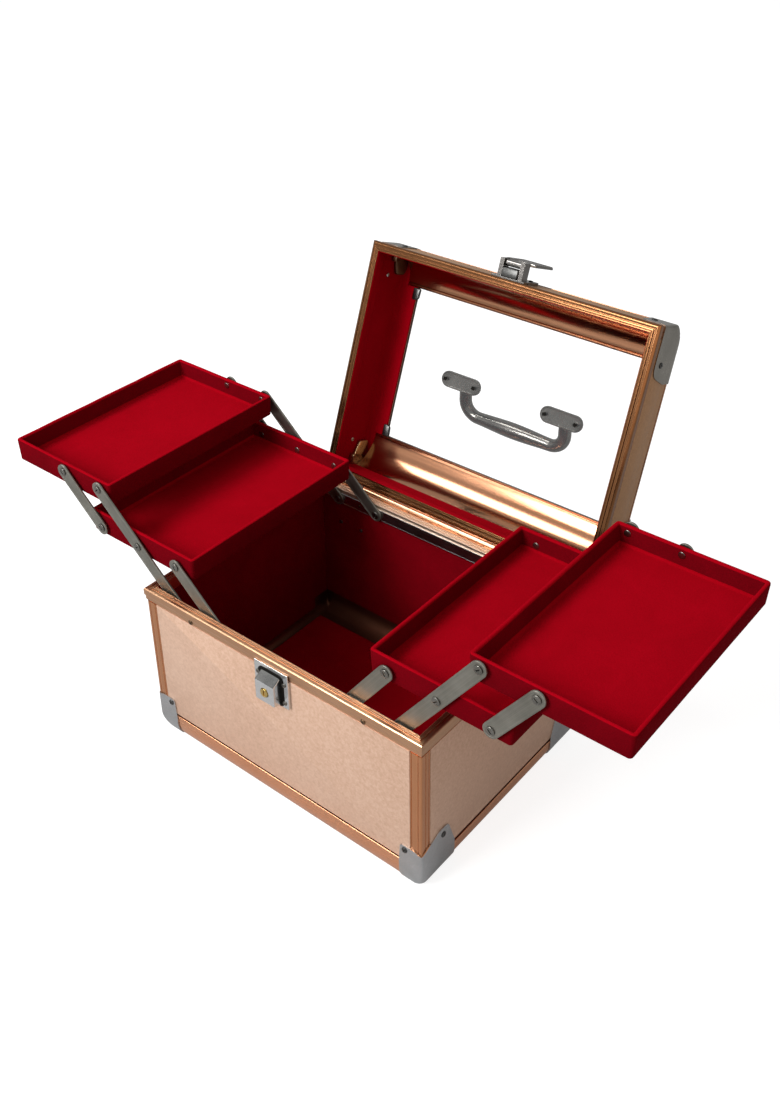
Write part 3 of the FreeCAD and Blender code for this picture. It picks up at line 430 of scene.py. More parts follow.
@dataclass(frozen=True)
class Finish:
    """What every finish has: a name and a shader to wire."""

    name: str

    def start(self) -> tuple[Material, NodeBoard, Node]:
        """Make an empty material with its shader.

        Returns:
            The material, its node board and its shader node.
        """
        material = bpy.data.materials.new(self.name)
        material.use_nodes = True
        board = NodeBoard(material.node_tree)
        return material, board, material.node_tree.nodes["Principled BSDF"]

    def make(self) -> Material:
        """Wire the finish, each kind in its own way."""
        raise NotImplementedError(self.name)

    @staticmethod
    def noise(board: NodeBoard, scale: float, detail: float = 3.0, stretch: Grain | None = None,
              distortion: float = 0.0) -> Socket:
        """Lay a noise over the piece, even or stretched into streaks.

        Args:
            board: Where the nodes go.
            scale: Waves per metre.
            detail: Finer layers of the noise.
            stretch: The way that streaks run, or nothing for an even noise.
            distortion: How far the noise is swirled.

        Returns:
            The noise as a factor.
        """
        coords = board.add("ShaderNodeTexCoord")
        source = coords.outputs["UV" if stretch is Grain.ALONG_PIECE else "Object"]
        texture = board.add("ShaderNodeTexNoise", {"Scale": scale, "Detail": detail, "Roughness": 0.55,
                                                   "Distortion": distortion})
        mapping = board.add("ShaderNodeMapping", {"Scale": stretch.value if stretch else (1.0, 1.0, 1.0)})
        board.wire(source, mapping.inputs["Vector"])
        board.wire(mapping.outputs["Vector"], texture.inputs["Vector"])
        return texture.outputs["Fac"]

    @staticmethod
    def bump(board: NodeBoard, shader: Node, height: Socket, depth: float,
             strength: float = 1.0) -> None:
        """Raise the surface by a pattern.

        Args:
            board: Where the nodes go.
            shader: The shader that gets the bump.
            height: The pattern.
            depth: Full height in metres.
            strength: How much of it is used.
        """
        node = board.add("ShaderNodeBump", {"Strength": strength, "Distance": depth})
        board.wire(height, node.inputs["Height"])
        board.wire(node.outputs["Normal"], shader.inputs["Normal"])


@dataclass(frozen=True)
class AnodisedBar(Finish):
    """Drawn aluminium, anodised rose gold, with streaks along the bar."""

    along: Grain
    deep: Colour = (0.59, 0.265, 0.125)
    pale: Colour = (0.66, 0.31, 0.155)
    rough_low: float = 0.22
    rough_high: float = 0.28
    lacquer: float = 0.0

    def make(self) -> Material:
        """Wire the streaks, the cloudy tone and the fine drawing lines.

        Returns:
            The material.
        """
        material, board, shader = self.start()
        streaks = self.noise(board, 1500.0, 4.0, self.along)
        clouds = self.noise(board, 22.0, 3.0)
        tone = board.maths("ADD", board.maths("MULTIPLY", streaks, 0.5), board.maths("MULTIPLY", clouds, 0.5))
        board.wire(board.tints(tone, [(0.34, self.deep), (0.66, self.pale)]), shader.inputs["Base Color"])
        board.wire(board.spread(streaks, self.rough_low, self.rough_high), shader.inputs["Roughness"])
        shader.inputs["Metallic"].default_value = 1.0
        shader.inputs["Coat Weight"].default_value = self.lacquer
        shader.inputs["Coat IOR"].default_value = 1.8
        shader.inputs["Coat Roughness"].default_value = 0.16
        self.bump(board, shader, streaks, 6e-6, 0.25)
        return material


@dataclass(frozen=True)
class LaminateSkin(Finish):
    """Pale rose-gold satin laminate with a fine mottled grain."""

    deep: Colour = (0.56, 0.345, 0.235)
    middle: Colour = (0.66, 0.43, 0.31)
    pale: Colour = (0.74, 0.52, 0.395)

    def make(self) -> Material:
        """Wire the mottle, the fine grain and a slow change of tone.

        Returns:
            The material.
        """
        material, board, shader = self.start()
        mottle = self.noise(board, 420.0, 5.0, distortion=0.6)
        grain = self.noise(board, 2400.0, 2.0)
        tone = self.noise(board, 11.0, 2.0)
        mixed = board.maths("ADD", board.maths("MULTIPLY", mottle, 0.5), board.maths("MULTIPLY", grain, 0.3))
        mixed = board.maths("ADD", mixed, board.maths("MULTIPLY", tone, 0.2))
        stops = [(0.36, self.deep), (0.5, self.middle), (0.64, self.pale)]
        board.wire(board.tints(mixed, stops), shader.inputs["Base Color"])
        board.wire(board.spread(mottle, 0.38, 0.52), shader.inputs["Roughness"])
        shader.inputs["Metallic"].default_value = 0.35
        shader.inputs["Specular IOR Level"].default_value = 0.5
        self.bump(board, shader, board.maths("ADD", mottle, grain), 6e-5, 0.5)
        return material


@dataclass(frozen=True)
class BrightMetal(Finish):
    """Plated or bare metal with a faint haze and fine rubbing marks."""

    deep: Colour
    pale: Colour
    rough_low: float
    rough_high: float
    along: Grain | None = None
    wave: float = 60.0

    def make(self) -> Material:
        """Wire the haze, the rubbing marks and the polish.

        Returns:
            The material.
        """
        material, board, shader = self.start()
        marks = self.noise(board, 1800.0, 3.0, self.along)
        haze = self.noise(board, self.wave, 3.0)
        tone = board.maths("ADD", board.maths("MULTIPLY", marks, 0.5), board.maths("MULTIPLY", haze, 0.5))
        board.wire(board.tints(tone, [(0.35, self.deep), (0.65, self.pale)]), shader.inputs["Base Color"])
        board.wire(board.spread(tone, self.rough_low, self.rough_high), shader.inputs["Roughness"])
        shader.inputs["Metallic"].default_value = 1.0
        self.bump(board, shader, marks, 1.2e-5, 0.5)
        return material


@dataclass(frozen=True)
class RedFlock(Finish):
    """Short red pile with a soft sheen, brushed lighter and darker in patches."""

    deep: Colour = (0.24, 0.0003, 0.004)
    middle: Colour = (0.285, 0.0004, 0.0052)
    pale: Colour = (0.33, 0.0005, 0.0068)
    sheen: float = 0.16

    def make(self) -> Material:
        """Wire the pile, the brushed patches and the sheen.

        Returns:
            The material.
        """
        material, board, shader = self.start()
        pile = self.noise(board, 3200.0, 2.0)
        brushed = self.noise(board, 34.0, 4.0, distortion=1.2)
        specks = self.noise(board, 900.0, 2.0)
        mixed = board.maths("ADD", board.maths("MULTIPLY", pile, 0.5), board.maths("MULTIPLY", brushed, 0.25))
        mixed = board.maths("ADD", mixed, board.maths("MULTIPLY", specks, 0.25))
        stops = [(0.36, self.deep), (0.5, self.middle), (0.64, self.pale)]
        board.wire(board.tints(mixed, stops), shader.inputs["Base Color"])
        shader.inputs["Roughness"].default_value = 0.95
        shader.inputs["Specular IOR Level"].default_value = 0.02
        shader.inputs["Sheen Weight"].default_value = self.sheen
        shader.inputs["Sheen Roughness"].default_value = 0.45
        shader.inputs["Sheen Tint"].default_value = (1.0, 0.004, 0.03, 1.0)
        self.bump(board, shader, board.maths("ADD", pile, specks), 2.2e-4, 0.6)
        return material


@dataclass(frozen=True)
class ClearSheet(Finish):
    """A clear window sheet with faint haze."""

    tint: Colour = (0.93, 0.95, 0.95)
    cover: float = 0.03

    def make(self) -> Material:
        """Wire a clear, glossy sheet.

        Returns:
            The material.
        """
        material, board, shader = self.start()
        haze = self.noise(board, 18.0, 3.0)
        pale = tuple(min(1.0, channel * 1.05) for channel in self.tint)
        board.wire(board.tints(haze, [(0.3, self.tint), (0.7, pale)]), shader.inputs["Base Color"])
        board.wire(board.spread(haze, 0.02, 0.06), shader.inputs["Roughness"])
        shader.inputs["Alpha"].default_value = self.cover
        material.surface_render_method = "BLENDED"
        return material


def made_once(finish: Finish) -> Material:
    """Declare a palette field whose material is made with the palette."""
    return field(default_factory=finish.make)


@dataclass
class Palette:
    """Every finish of the case, made once."""

    rim_x: Material = made_once(
        AnodisedBar("anodised_lengthwise", Grain.ALONG_X, (0.62, 0.34, 0.20), (0.74, 0.44, 0.28)))
    rim: Material = made_once(
        AnodisedBar("anodised_rim", Grain.ALONG_PIECE, (0.53, 0.29, 0.165), (0.62, 0.365, 0.22), 0.30, 0.38))
    # Painted light: a paler, rougher copy of the rim finish for the base rim's back bar.
    rear_rim_painted_light: Material = made_once(
        AnodisedBar("anodised_rear_rim_painted_light", Grain.ALONG_PIECE, (0.60, 0.43, 0.31), (0.72, 0.55, 0.42), 0.34,
                    0.42))
    # Painted light: a brighter, more saturated copy of the anodised finish for the bottom edges.
    foot: Material = made_once(
        AnodisedBar("anodised_bottom_edge_painted_light", Grain.ALONG_PIECE, (0.72, 0.34, 0.185), (0.82, 0.41, 0.235)))
    post: Material = made_once(AnodisedBar("anodised_post", Grain.ALONG_Z))
    # Painted shade and reflection: a deeper copy of the anodised finish for the lid's coves, darkened for the
    # dark red interior that they reflect.
    cove: Material = made_once(
        AnodisedBar("polished_shaded_cove", Grain.ALONG_PIECE, (0.42, 0.17, 0.07), (0.50, 0.215, 0.095), 0.12,
                    0.20, 0.6))
    # Painted shade: a darker copy of the anodised finish for the lid's rim.
    lid_rim_painted_shade: Material = made_once(
        AnodisedBar("lid_rim_anodised_painted_shade", Grain.ALONG_PIECE, (0.20, 0.085, 0.034), (0.29, 0.13, 0.056),
                    0.14, 0.24))
    # Painted shade: a dark copy of the anodised finish for the bottom edges' inner coves and the base's
    # corner fillers.
    foot_inside: Material = made_once(
        AnodisedBar("shaded_foot_inside", Grain.ALONG_PIECE, (0.13, 0.047, 0.027), (0.19, 0.075, 0.043),
                    0.42, 0.56))
    laminate: Material = made_once(LaminateSkin("rose_laminate"))
    # Painted shade: a darker copy of the rose laminate for the lid's skins.
    painted_shade_laminate: Material = made_once(
        LaminateSkin("rose_laminate_painted_shade", (0.36, 0.185, 0.08), (0.43, 0.235, 0.11), (0.50, 0.285, 0.145)))
    chrome: Material = made_once(
        BrightMetal("satin_chrome", (0.40, 0.41, 0.42), (0.54, 0.55, 0.56), 0.16, 0.28))
    # Painted shade: a darker, warmer copy of the chrome for the lid's corner caps.
    shaded_cap_chrome: Material = made_once(
        BrightMetal("chrome_painted_shade", (0.22, 0.205, 0.175), (0.34, 0.32, 0.28), 0.18, 0.30))
    polished: Material = made_once(
        BrightMetal("polished_chrome", (0.58, 0.60, 0.61), (0.74, 0.75, 0.76), 0.14, 0.24))
    nickel: Material = made_once(
        BrightMetal("dark_nickel", (0.16, 0.15, 0.14), (0.27, 0.255, 0.24), 0.12, 0.22))
    grip: Material = made_once(
        BrightMetal("worn_nickel", (0.08, 0.076, 0.068), (0.155, 0.147, 0.135), 0.14, 0.24))
    steel: Material = made_once(
        BrightMetal("brushed_arm_steel", (0.20, 0.194, 0.166), (0.30, 0.29, 0.255), 0.38, 0.50,
                    Grain.ALONG_PIECE))
    rivet: Material = made_once(
        BrightMetal("rivet_steel", (0.13, 0.125, 0.11), (0.24, 0.23, 0.21), 0.22, 0.36))
    stud: Material = made_once(
        BrightMetal("blackened_stud", (0.045, 0.045, 0.045), (0.12, 0.12, 0.115), 0.25, 0.4))
    bronze: Material = made_once(
        BrightMetal("dark_bronze", (0.10, 0.065, 0.04), (0.24, 0.15, 0.085), 0.28, 0.46))
    gilt: Material = made_once(
        BrightMetal("gilt_bracket", (0.36, 0.23, 0.10), (0.56, 0.40, 0.22), 0.2, 0.34))
    flock: Material = made_once(RedFlock("red_flock"))
    # Painted shade: a darker copy of the red flock for the trays' outer walls and inner wall row.
    flock_shade: Material = made_once(
        RedFlock("red_flock_painted_shade", (0.096, 0.0004, 0.0026), (0.123, 0.0005, 0.0034),
                 (0.158, 0.0006, 0.0042), 0.1))
    # Painted shade: a darker copy of the red flock for the base's wall lining.
    lining: Material = made_once(
        RedFlock("red_lining_painted_shade", (0.12, 0.0004, 0.003), (0.155, 0.0005, 0.004),
                 (0.20, 0.0006, 0.0052), 0.12))
    brass: Material = made_once(
        BrightMetal("lock_brass", (0.46, 0.31, 0.08), (0.66, 0.50, 0.19), 0.18, 0.32))
    window: Material = made_once(ClearSheet("clear_window_sheet"))
    # Painted shadow: near black, for the rivet slots and the sheet round the lock.
    shadow: Material = made_once(
        BrightMetal("painted_shadow_recess", (0.010, 0.009, 0.008), (0.022, 0.02, 0.018), 0.55, 0.75))


# Sizes and the bench


@dataclass(frozen=True)
class RoundOver:
    """A rounded edge of the case: a quarter of an ellipse, in millimetres from the face and from the end."""

    depth: float
    height: float

    def extent(self, shell: float, z: float, grow: float) -> float:
        """Give how far out the face lies at one height.

        Args:
            shell: The flat face's distance from the middle of the case.
            z: Height above the rounded end.
            grow: How far outside the shell the skin lies.

        Returns:
            The distance from the middle of the case.
        """
        if z >= self.height:
            return shell + grow
        share = (self.height - z) / (self.height + grow)
        return shell - self.depth + (self.depth + grow) * math.sqrt(max(0.0, 1 - share * share))

    def line(self, shell: float, steps: int = 14) -> list[Point2]:
        """Draw the edge from the flat face down to the rounded end.

        Args:
            shell: The flat face's distance from the middle of the case.
            steps: Steps in the quarter.

        Returns:
            The edge's points.
        """
        turns = [math.pi / 2 * step / steps for step in range(steps + 1)]
        return [(shell - self.depth * (1 - math.cos(turn)), self.height * (1 - math.sin(turn)))
                for turn in turns]


@dataclass(frozen=True)
class CaseSizes:
    """Sizes that the sub-assemblies share, in millimetres, most of them the solids' own."""

    half_length: float = 125.0
    half_depth: float = 95.0
    shell_x: float = 123.8
    shell_y: float = 93.8
    wall: float = 3.0
    post: float = 9.0
    base_height: float = 131.0
    rim_low: float = 120.0
    front_round: float = 20.0
    side_round: float = 10.0
    front_foot: RoundOver = RoundOver(6.0, 14.0)
    side_foot: RoundOver = RoundOver(10.0, 10.0)
    lid_low: float = 140.3
    lid_high: float = 162.0
    lid_side_high: float = 169.0
    lid_top: float = 179.0
    lid_round: float = 17.0
    lid_side_round: float = 10.0
    front_flange: float = 14.0
    side_flange: float = 10.0
    hinge_y: float = 97.8
    open_angle: float = 110.6
    pivot_x: float = 99.5
    pivot_z: float = 123.0
    pivot_pitch: float = 39.0
    arm_pitch: float = 50.0
    arm_in: float = 85.15
    arm_out: float = 86.65
    rises: tuple[float, float] = (42.0, 54.0)
    tray_end: float = 83.5

    def lid(self) -> Matrix:
        """Give the turn from the shut lid to the open one.

        Returns:
            The turn, about the hinge pin.
        """
        pin = Vector((0, self.hinge_y, self.base_height))
        turn = Matrix.Rotation(math.radians(self.open_angle), 4, Vector((-1, 0, 0)))
        return Matrix.Translation(pin) @ turn @ Matrix.Translation(-pin)

    def lid_cove(self) -> float:
        """Give the radius of the lid's cove, which starts at the window's edge."""
        return self.front_flange + self.lid_round - self.wall

    def rise(self, wing: Wing) -> float:
        """Give the angle that a side's arms stand at."""
        return math.radians(self.rises[0] if wing is Wing.LEFT else self.rises[1])


SIZES = CaseSizes()
ACROSS_Y = Matrix(((1, 0, 0, 0), (0, 0, -1, 0), (0, 1, 0, 0), (0, 0, 0, 1)))
ACROSS_X = Matrix(((0, 0, 1, 0), (1, 0, 0, 0), (0, 1, 0, 0), (0, 0, 0, 1)))
QUARTER = [Matrix.Rotation(math.pi / 2 * side.value, 4, "Z") for side in Side]


@dataclass
class Bench:
    """Where forms become pieces that ride on the case's bodies."""

    palette: Palette
    made: list[str] = field(default_factory=list)

    def show(self, form: Form, name: str, body: str, material: Material,
             replaces: Iterable[str] = (), bevel: float = 0.0, angle: float = 32.0,
             second: Material | None = None) -> bpy.types.Object:
        """Turn a form into a piece.

        Args:
            form: The form, in millimetres.
            name: Name of the piece.
            body: The body that it rides on.
            material: Its finish.
            replaces: Nodes that it stands for.
            bevel: Radius of the edges that are rounded last.
            angle: Edges sharper than this many degrees stay crisp.
            second: Finish of the faces that the form marks with material index 1.

        Returns:
            The piece's object.
        """
        bmesh.ops.remove_doubles(form.mesh, verts=form.mesh.verts, dist=1e-4)
        bmesh.ops.recalc_face_normals(form.mesh, faces=form.mesh.faces)
        form.move(Matrix.Scale(MM, 4))
        mesh = bpy.data.meshes.new(name)
        form.mesh.to_mesh(mesh)
        form.mesh.free()
        mesh.materials.append(material)
        if second is not None:
            mesh.materials.append(second)
        else:
            mesh.polygons.foreach_set("material_index", [0] * len(mesh.polygons))
        mesh.shade_smooth()
        mesh.set_sharp_from_angle(angle=math.radians(angle))
        item = bpy.data.objects.new(name, mesh)
        bpy.context.scene.collection.objects.link(item)
        if bevel:
            rounding = item.modifiers.new("rounded edges", "BEVEL")
            rounding.width = bevel * MM
            rounding.segments = 2
            rounding.limit_method = "ANGLE"
            rounding.angle_limit = math.radians(angle)
            rounding.harden_normals = True
            plain_mesh(item)
        return self.settle(item, body, replaces)

    def settle(self, item: bpy.types.Object, body: str,
               replaces: Iterable[str]) -> bpy.types.Object:
        """Let a finished object ride on its body and stand for its nodes.

        Args:
            item: The object.
            body: The body that it rides on.
            replaces: The nodes that it stands for.

        Returns:
            The object.
        """
        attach(item, body)
        names = list(replaces)
        if names:
            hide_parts(*names)
        self.made.append(item.name)
        log.info("%s rides on %s, %d faces", item.name, body, len(item.data.polygons))
        return item

    def softened(self, node: str, name: str, body: str, material: Material,
                 bevel: float) -> bpy.types.Object:
        """Stand a copy of a node with rounded edges in for it."""
        form = Form.copy_of(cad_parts[node]).map_grain()
        return self.show(form, name, body, material, [node], bevel)

    def paint(self, material: Material, *nodes: str) -> None:
        """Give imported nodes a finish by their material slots.

        Args:
            material: The finish.
            *nodes: The nodes' names.
        """
        for node in nodes:
            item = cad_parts[node]
            if not item.material_slots:
                item.data.materials.append(material)
            for slot in item.material_slots:
                slot.material = material
            log.info("%s keeps its solid, finished as %s", node, material.name)


# Rivets and screws


@dataclass(frozen=True)
class RivetSizes:
    """Sizes of one kind of rivet or screw, in millimetres."""

    head_radius: float
    head_height: float
    shank_radius: float
    shank_length: float
    slot_length: float
    slot_width: float
    slot_depth: float
    collar_radius: float = 0.5
    collar_start: float = 0.2
    collar_length: float = 0.5
    tail_radius: float = 0.5
    tail_height: float = 0.2


LINING_RIVET = RivetSizes(1.7, 0.6, 1.0, 2.0, 2.2, 0.5, 0.3)
PLATE_RIVET = RivetSizes(1.7, 0.8, 1.2, 5.4, 2.0, 0.5, 0.4)


class RivetRow:
    """A node tree that sets a slotted, low-domed rivet on each point of a mesh."""

    INPUTS = ("head_radius", "head_height", "shank_radius", "shank_length", "slot_length", "slot_width",
              "slot_depth", "collar_radius", "collar_start", "collar_length", "tail_radius", "tail_height")

    def __init__(self, recess: Material) -> None:
        """Build the tree once, with the near-black finish that is painted inside the slots as shade.

        Args:
            recess: That finish.
        """
        self.recess = recess
        self.tree = bpy.data.node_groups.new("rivet_row", "GeometryNodeTree")
        self.keys: dict[str, str] = {}
        self.board = NodeBoard(self.tree)
        face = self.tree.interface
        face.new_socket("points", in_out="INPUT", socket_type="NodeSocketGeometry")
        kinds = {name: "Float" for name in self.INPUTS}
        kinds |= {"seed": "Int", "finish": "Material", "recess": "Material"}
        for name, kind in kinds.items():
            socket = face.new_socket(name, in_out="INPUT", socket_type=f"NodeSocket{kind}")
            self.keys[name] = socket.identifier
        face.new_socket("rivets", in_out="OUTPUT", socket_type="NodeSocketGeometry")
        self.given = self.board.add("NodeGroupInput").outputs
        self.wire_tree()

    def dome(self, radius: Socket, height: Socket) -> Socket:
        """Shape a low dome with a flat underside at zero.

        Args:
            radius: The dome's radius.
            height: Its full height.

        Returns:
            The dome's mesh.
        """
        board = self.board
        ball = board.add("GeometryNodeMeshUVSphere", {"Segments": 28, "Rings": 12, "Radius": 1.0})
        smooth = board.add("GeometryNodeSetShadeSmooth")
        board.wire(ball.outputs["Mesh"], smooth.inputs["Geometry"])
        parts = board.add("ShaderNodeSeparateXYZ")
        board.wire(board.add("GeometryNodeInputPosition").outputs[0], parts.inputs[0])
        upper = board.maths("GREATER_THAN", parts.outputs["Z"], -0.01)
        rise = board.maths("MAXIMUM", parts.outputs["Z"], 0.0)
        crown = board.maths("ADD", board.maths("MULTIPLY", rise, 0.6), 0.4)
        joined = board.add("ShaderNodeCombineXYZ")
        board.wire(board.maths("MULTIPLY", parts.outputs["X"], radius), joined.inputs["X"])
        board.wire(board.maths("MULTIPLY", parts.outputs["Y"], radius), joined.inputs["Y"])
        board.wire(board.maths("MULTIPLY", board.maths("MULTIPLY", crown, upper), height), joined.inputs["Z"])
        placed = board.add("GeometryNodeSetPosition")
        board.wire(smooth.outputs["Geometry"], placed.inputs["Geometry"])
        board.wire(joined.outputs[0], placed.inputs["Position"])
        return placed.outputs["Geometry"]

    def post(self, radius: Socket, length: Socket,
             start: object) -> Socket:
        """Shape a round post that goes down from a start depth.

        Args:
            radius: The post's radius.
            length: Its length.
            start: Depth of its top under zero, a socket or a number.

        Returns:
            The post's mesh.
        """
        board = self.board
        rod = board.add("GeometryNodeMeshCylinder", {"Vertices": 20})
        board.wire(radius, rod.inputs["Radius"])
        board.wire(length, rod.inputs["Depth"])
        drop = board.maths("ADD", board.maths("MULTIPLY", length, 0.5), start)
        return self.shifted(rod.outputs["Mesh"], board.maths("MULTIPLY", drop, -1.0), 0.0)

    def shifted(self, mesh: Socket, height: Socket,
                turn: float) -> Socket:
        """Move a mesh along Z and turn it about X.

        Args:
            mesh: The mesh.
            height: How far it moves.
            turn: Angle in radians.

        Returns:
            The moved mesh.
        """
        spot = self.board.add("ShaderNodeCombineXYZ")
        self.board.wire(height, spot.inputs["Z"])
        node = self.board.add("GeometryNodeTransform", {"Rotation": (turn, 0.0, 0.0)})
        self.board.wire(mesh, node.inputs["Geometry"])
        self.board.wire(spot.outputs[0], node.inputs["Translation"])
        return node.outputs["Geometry"]

    def wire_tree(self) -> None:
        """Join head, shank, collar and tail, and set them on the points."""
        board, given = self.board, self.given
        cutter = board.add("GeometryNodeMeshCube")
        extent = board.add("ShaderNodeCombineXYZ")
        for axis, name in zip("XYZ", ("slot_length", "slot_width", "slot_depth")):
            board.wire(board.maths("MULTIPLY", given[name], 2.0 if axis == "Z" else 1.0), extent.inputs[axis])
        board.wire(extent.outputs[0], cutter.inputs["Size"])
        # The slot's faces get the near-black finish as painted shade.
        slot = board.add("GeometryNodeSetMaterial")
        board.wire(self.shifted(cutter.outputs["Mesh"], given["head_height"], 0.0), slot.inputs["Geometry"])
        board.wire(given["recess"], slot.inputs["Material"])
        head = board.add("GeometryNodeMeshBoolean", operation="DIFFERENCE")
        board.wire(self.dome(given["head_radius"], given["head_height"]), head.inputs["Mesh 1"])
        board.wire(slot.outputs["Geometry"], head.inputs["Mesh 2"])
        below = board.maths("MULTIPLY", given["shank_length"], -1.0)
        tail = self.shifted(self.dome(given["tail_radius"], given["tail_height"]), below, math.pi)
        whole = board.add("GeometryNodeJoinGeometry")
        for mesh in (head.outputs["Mesh"], self.post(given["shank_radius"], given["shank_length"], 0.0),
                     self.post(given["collar_radius"], given["collar_length"], given["collar_start"]), tail):
            board.wire(mesh, whole.inputs["Geometry"])

        facing = board.add("GeometryNodeInputNamedAttribute", {"Name": "facing"}, data_type="FLOAT_VECTOR")
        align = board.add("FunctionNodeAlignRotationToVector", axis="Z")
        board.wire(facing.outputs["Attribute"], align.inputs["Vector"])
        row = board.add("GeometryNodeInstanceOnPoints")
        board.wire(given["points"], row.inputs["Points"])
        board.wire(whole.outputs["Geometry"], row.inputs["Instance"])
        board.wire(align.outputs["Rotation"], row.inputs["Rotation"])
        spin = board.add("FunctionNodeRandomValue", data_type="FLOAT")
        spin.inputs[3].default_value = 2 * math.pi
        board.wire(given["seed"], spin.inputs["Seed"])
        about = board.add("ShaderNodeCombineXYZ")
        board.wire(spin.outputs[1], about.inputs["Z"])
        turn = board.add("GeometryNodeRotateInstances")
        board.wire(row.outputs["Instances"], turn.inputs["Instances"])
        board.wire(about.outputs[0], turn.inputs["Rotation"])
        real = board.add("GeometryNodeRealizeInstances")
        board.wire(turn.outputs["Instances"], real.inputs["Geometry"])
        hollow = board.add("GeometryNodeMaterialSelection")
        board.wire(given["recess"], hollow.inputs["Material"])
        solid = board.add("FunctionNodeBooleanMath", operation="NOT")
        board.wire(hollow.outputs["Selection"], solid.inputs[0])
        dressed = board.add("GeometryNodeSetMaterial")
        board.wire(solid.outputs[0], dressed.inputs["Selection"])
        board.wire(real.outputs["Geometry"], dressed.inputs["Geometry"])
        board.wire(given["finish"], dressed.inputs["Material"])
        board.wire(dressed.outputs["Geometry"], board.add("NodeGroupOutput").inputs["rivets"])

    def set_on(self, name: str, spots: Sequence[tuple[Vector, Vector]], sizes: RivetSizes,
               material: Material, seed: int) -> bpy.types.Object:
        """Set rivets on points and turn them into a plain mesh.

        Args:
            name: Name of the piece.
            spots: Pairs of seat and outward direction, in millimetres.
            sizes: The rivets' sizes.
            material: Their finish.
            seed: Seed of the slots' turns.

        Returns:
            The piece's object.
        """
        mesh = bpy.data.meshes.new(name)
        mesh.from_pydata([spot * MM for spot, _ in spots], [], [])
        facing = mesh.attributes.new("facing", "FLOAT_VECTOR", "POINT")
        facing.data.foreach_set("vector", [number for _, way in spots for number in way])
        item = bpy.data.objects.new(name, mesh)
        bpy.context.scene.collection.objects.link(item)
        modifier = item.modifiers.new("rivets", "NODES")
        modifier.node_group = self.tree
        for key in self.INPUTS:
            modifier[self.keys[key]] = getattr(sizes, key) * MM
        modifier[self.keys["seed"]] = seed
        modifier[self.keys["finish"]] = material
        modifier[self.keys["recess"]] = self.recess
        plain_mesh(item)
        return item


# Sub-assemblies


def corner_signs() -> list[tuple[int, int]]:
    """List the signs of X and Y of the four corners."""
    return [(x, y) for y in (-1, 1) for x in (-1, 1)]


def mirrored(x: int, y: int) -> Matrix:
    """Give the mirror turn to one corner of the case."""
    return Matrix.Diagonal((x, y, 1, 1))


@dataclass
class PostSet:
    """Four upright corner posts: an angle section with drawn ridges and a rounded corner."""

    name: str
    low: float
    high: float
    corner: float = 1.9
    line_depth: float = 0.35

    def outline(self) -> list[Point2]:
        """Draw the section of the post in the +X +Y corner.

        Returns:
            The section's points.
        """
        x, y, face, wall = SIZES.shell_x, SIZES.shell_y, SIZES.post, SIZES.wall
        deep = self.line_depth
        corners = [(x - face, y - wall, 0.2), (x - wall, y - wall, 0.3), (x - wall, y - face, 0.2),
                   (x, y - face, 0.25)]
        for at in (7.6, 4.4):
            corners += [(x, y - at - 0.3, 0.08), (x - deep, y - at - 0.2, 0.05),
                        (x - deep, y - at + 0.2, 0.05), (x, y - at + 0.3, 0.08)]
        corners.append((x, y, self.corner))
        for at in (2.6, 7.8):
            corners += [(x - at + 0.3, y, 0.08), (x - at + 0.2, y - deep, 0.05),
                        (x - at - 0.2, y - deep, 0.05), (x - at - 0.3, y, 0.08)]
        corners.append((x - face, y, 0.25))
        return fillet(corners)

    def build(self, bench: Bench, body: str, node: str, seat: Matrix) -> None:
        """Make the four posts in place of their node.

        Args:
            bench: The bench.
            body: The body that they ride on.
            node: The node that they stand for.
            seat: Where the posts stand.
        """
        whole = Form()
        for x, y in corner_signs():
            loops = [[(px, py, z) for px, py in self.outline()] for z in (self.low, self.high)]
            whole.take(Form().loft(loops), seat @ mirrored(x, y))
        bench.show(whole, self.name, body, bench.palette.post, [node])


@dataclass
class RimFrame:
    """A rim of four mitred bars with ridges on its meeting face and a lip outside."""

    name: str
    profile: list[Corner]
    seam: float = 0.06

    def build(self, bench: Bench, body: str, node: str, seat: Matrix, material: Material,
              back: Material) -> None:
        """Make the four bars in place of their node.

        Args:
            bench: The bench.
            body: The body that they ride on.
            node: The node that they stand for.
            seat: Where the rim lies.
            material: The bars' finish.
            back: The back bar's finish, for the base a paler, rougher copy of the rim finish as painted
                light.
        """
        whole = Form()
        outline = fillet(self.profile)
        for side in Side:
            long_side = side in (Side.FRONT, Side.BACK)
            along = SIZES.half_length if long_side else SIZES.half_depth
            across = SIZES.half_depth if long_side else SIZES.half_length
            bar = Form().bar(outline, self.seam - along, along - self.seam, mitre=True)
            # The back bar takes the second finish; for the base this paints light on that side.
            for face in bar.mesh.faces:
                face.material_index = int(side is Side.BACK)
            whole.take(bar, seat @ QUARTER[side.value] @ Matrix.Translation((0, -across, 0)))
        bench.show(whole, self.name, body, material, [node], angle=24, second=back)


@dataclass(frozen=True)
class CapLobe:
    """One face of a corner cap, in millimetres from the corner and from the rounded end of the case."""

    reach: float
    top: float
    shoulder: float = 0.0
    slant: float = 0.0
    waist: float = 0.0
    soft: float = 5.0

    def border(self, notch: float) -> list[Point2]:
        """Draw the lobe's free border from the corner to its far end.

        Args:
            notch: Height of the border at the corner.

        Returns:
            Points as (distance from the corner, height).
        """
        corners = [(0.0, notch, 0.0), (self.shoulder, self.top, self.soft),
                   (self.reach - self.slant, self.top, self.soft), (self.reach, self.waist, self.soft * 0.6),
                   (self.reach, 0.0, 0.0), (0.0, 0.0, 0.0)]
        line = fillet(corners, 5)[:-2]
        line[-1] = (self.reach, line[-1][1])
        return [point for index, point in enumerate(line)
                if not index or point[0] > line[index - 1][0] + 1e-6]


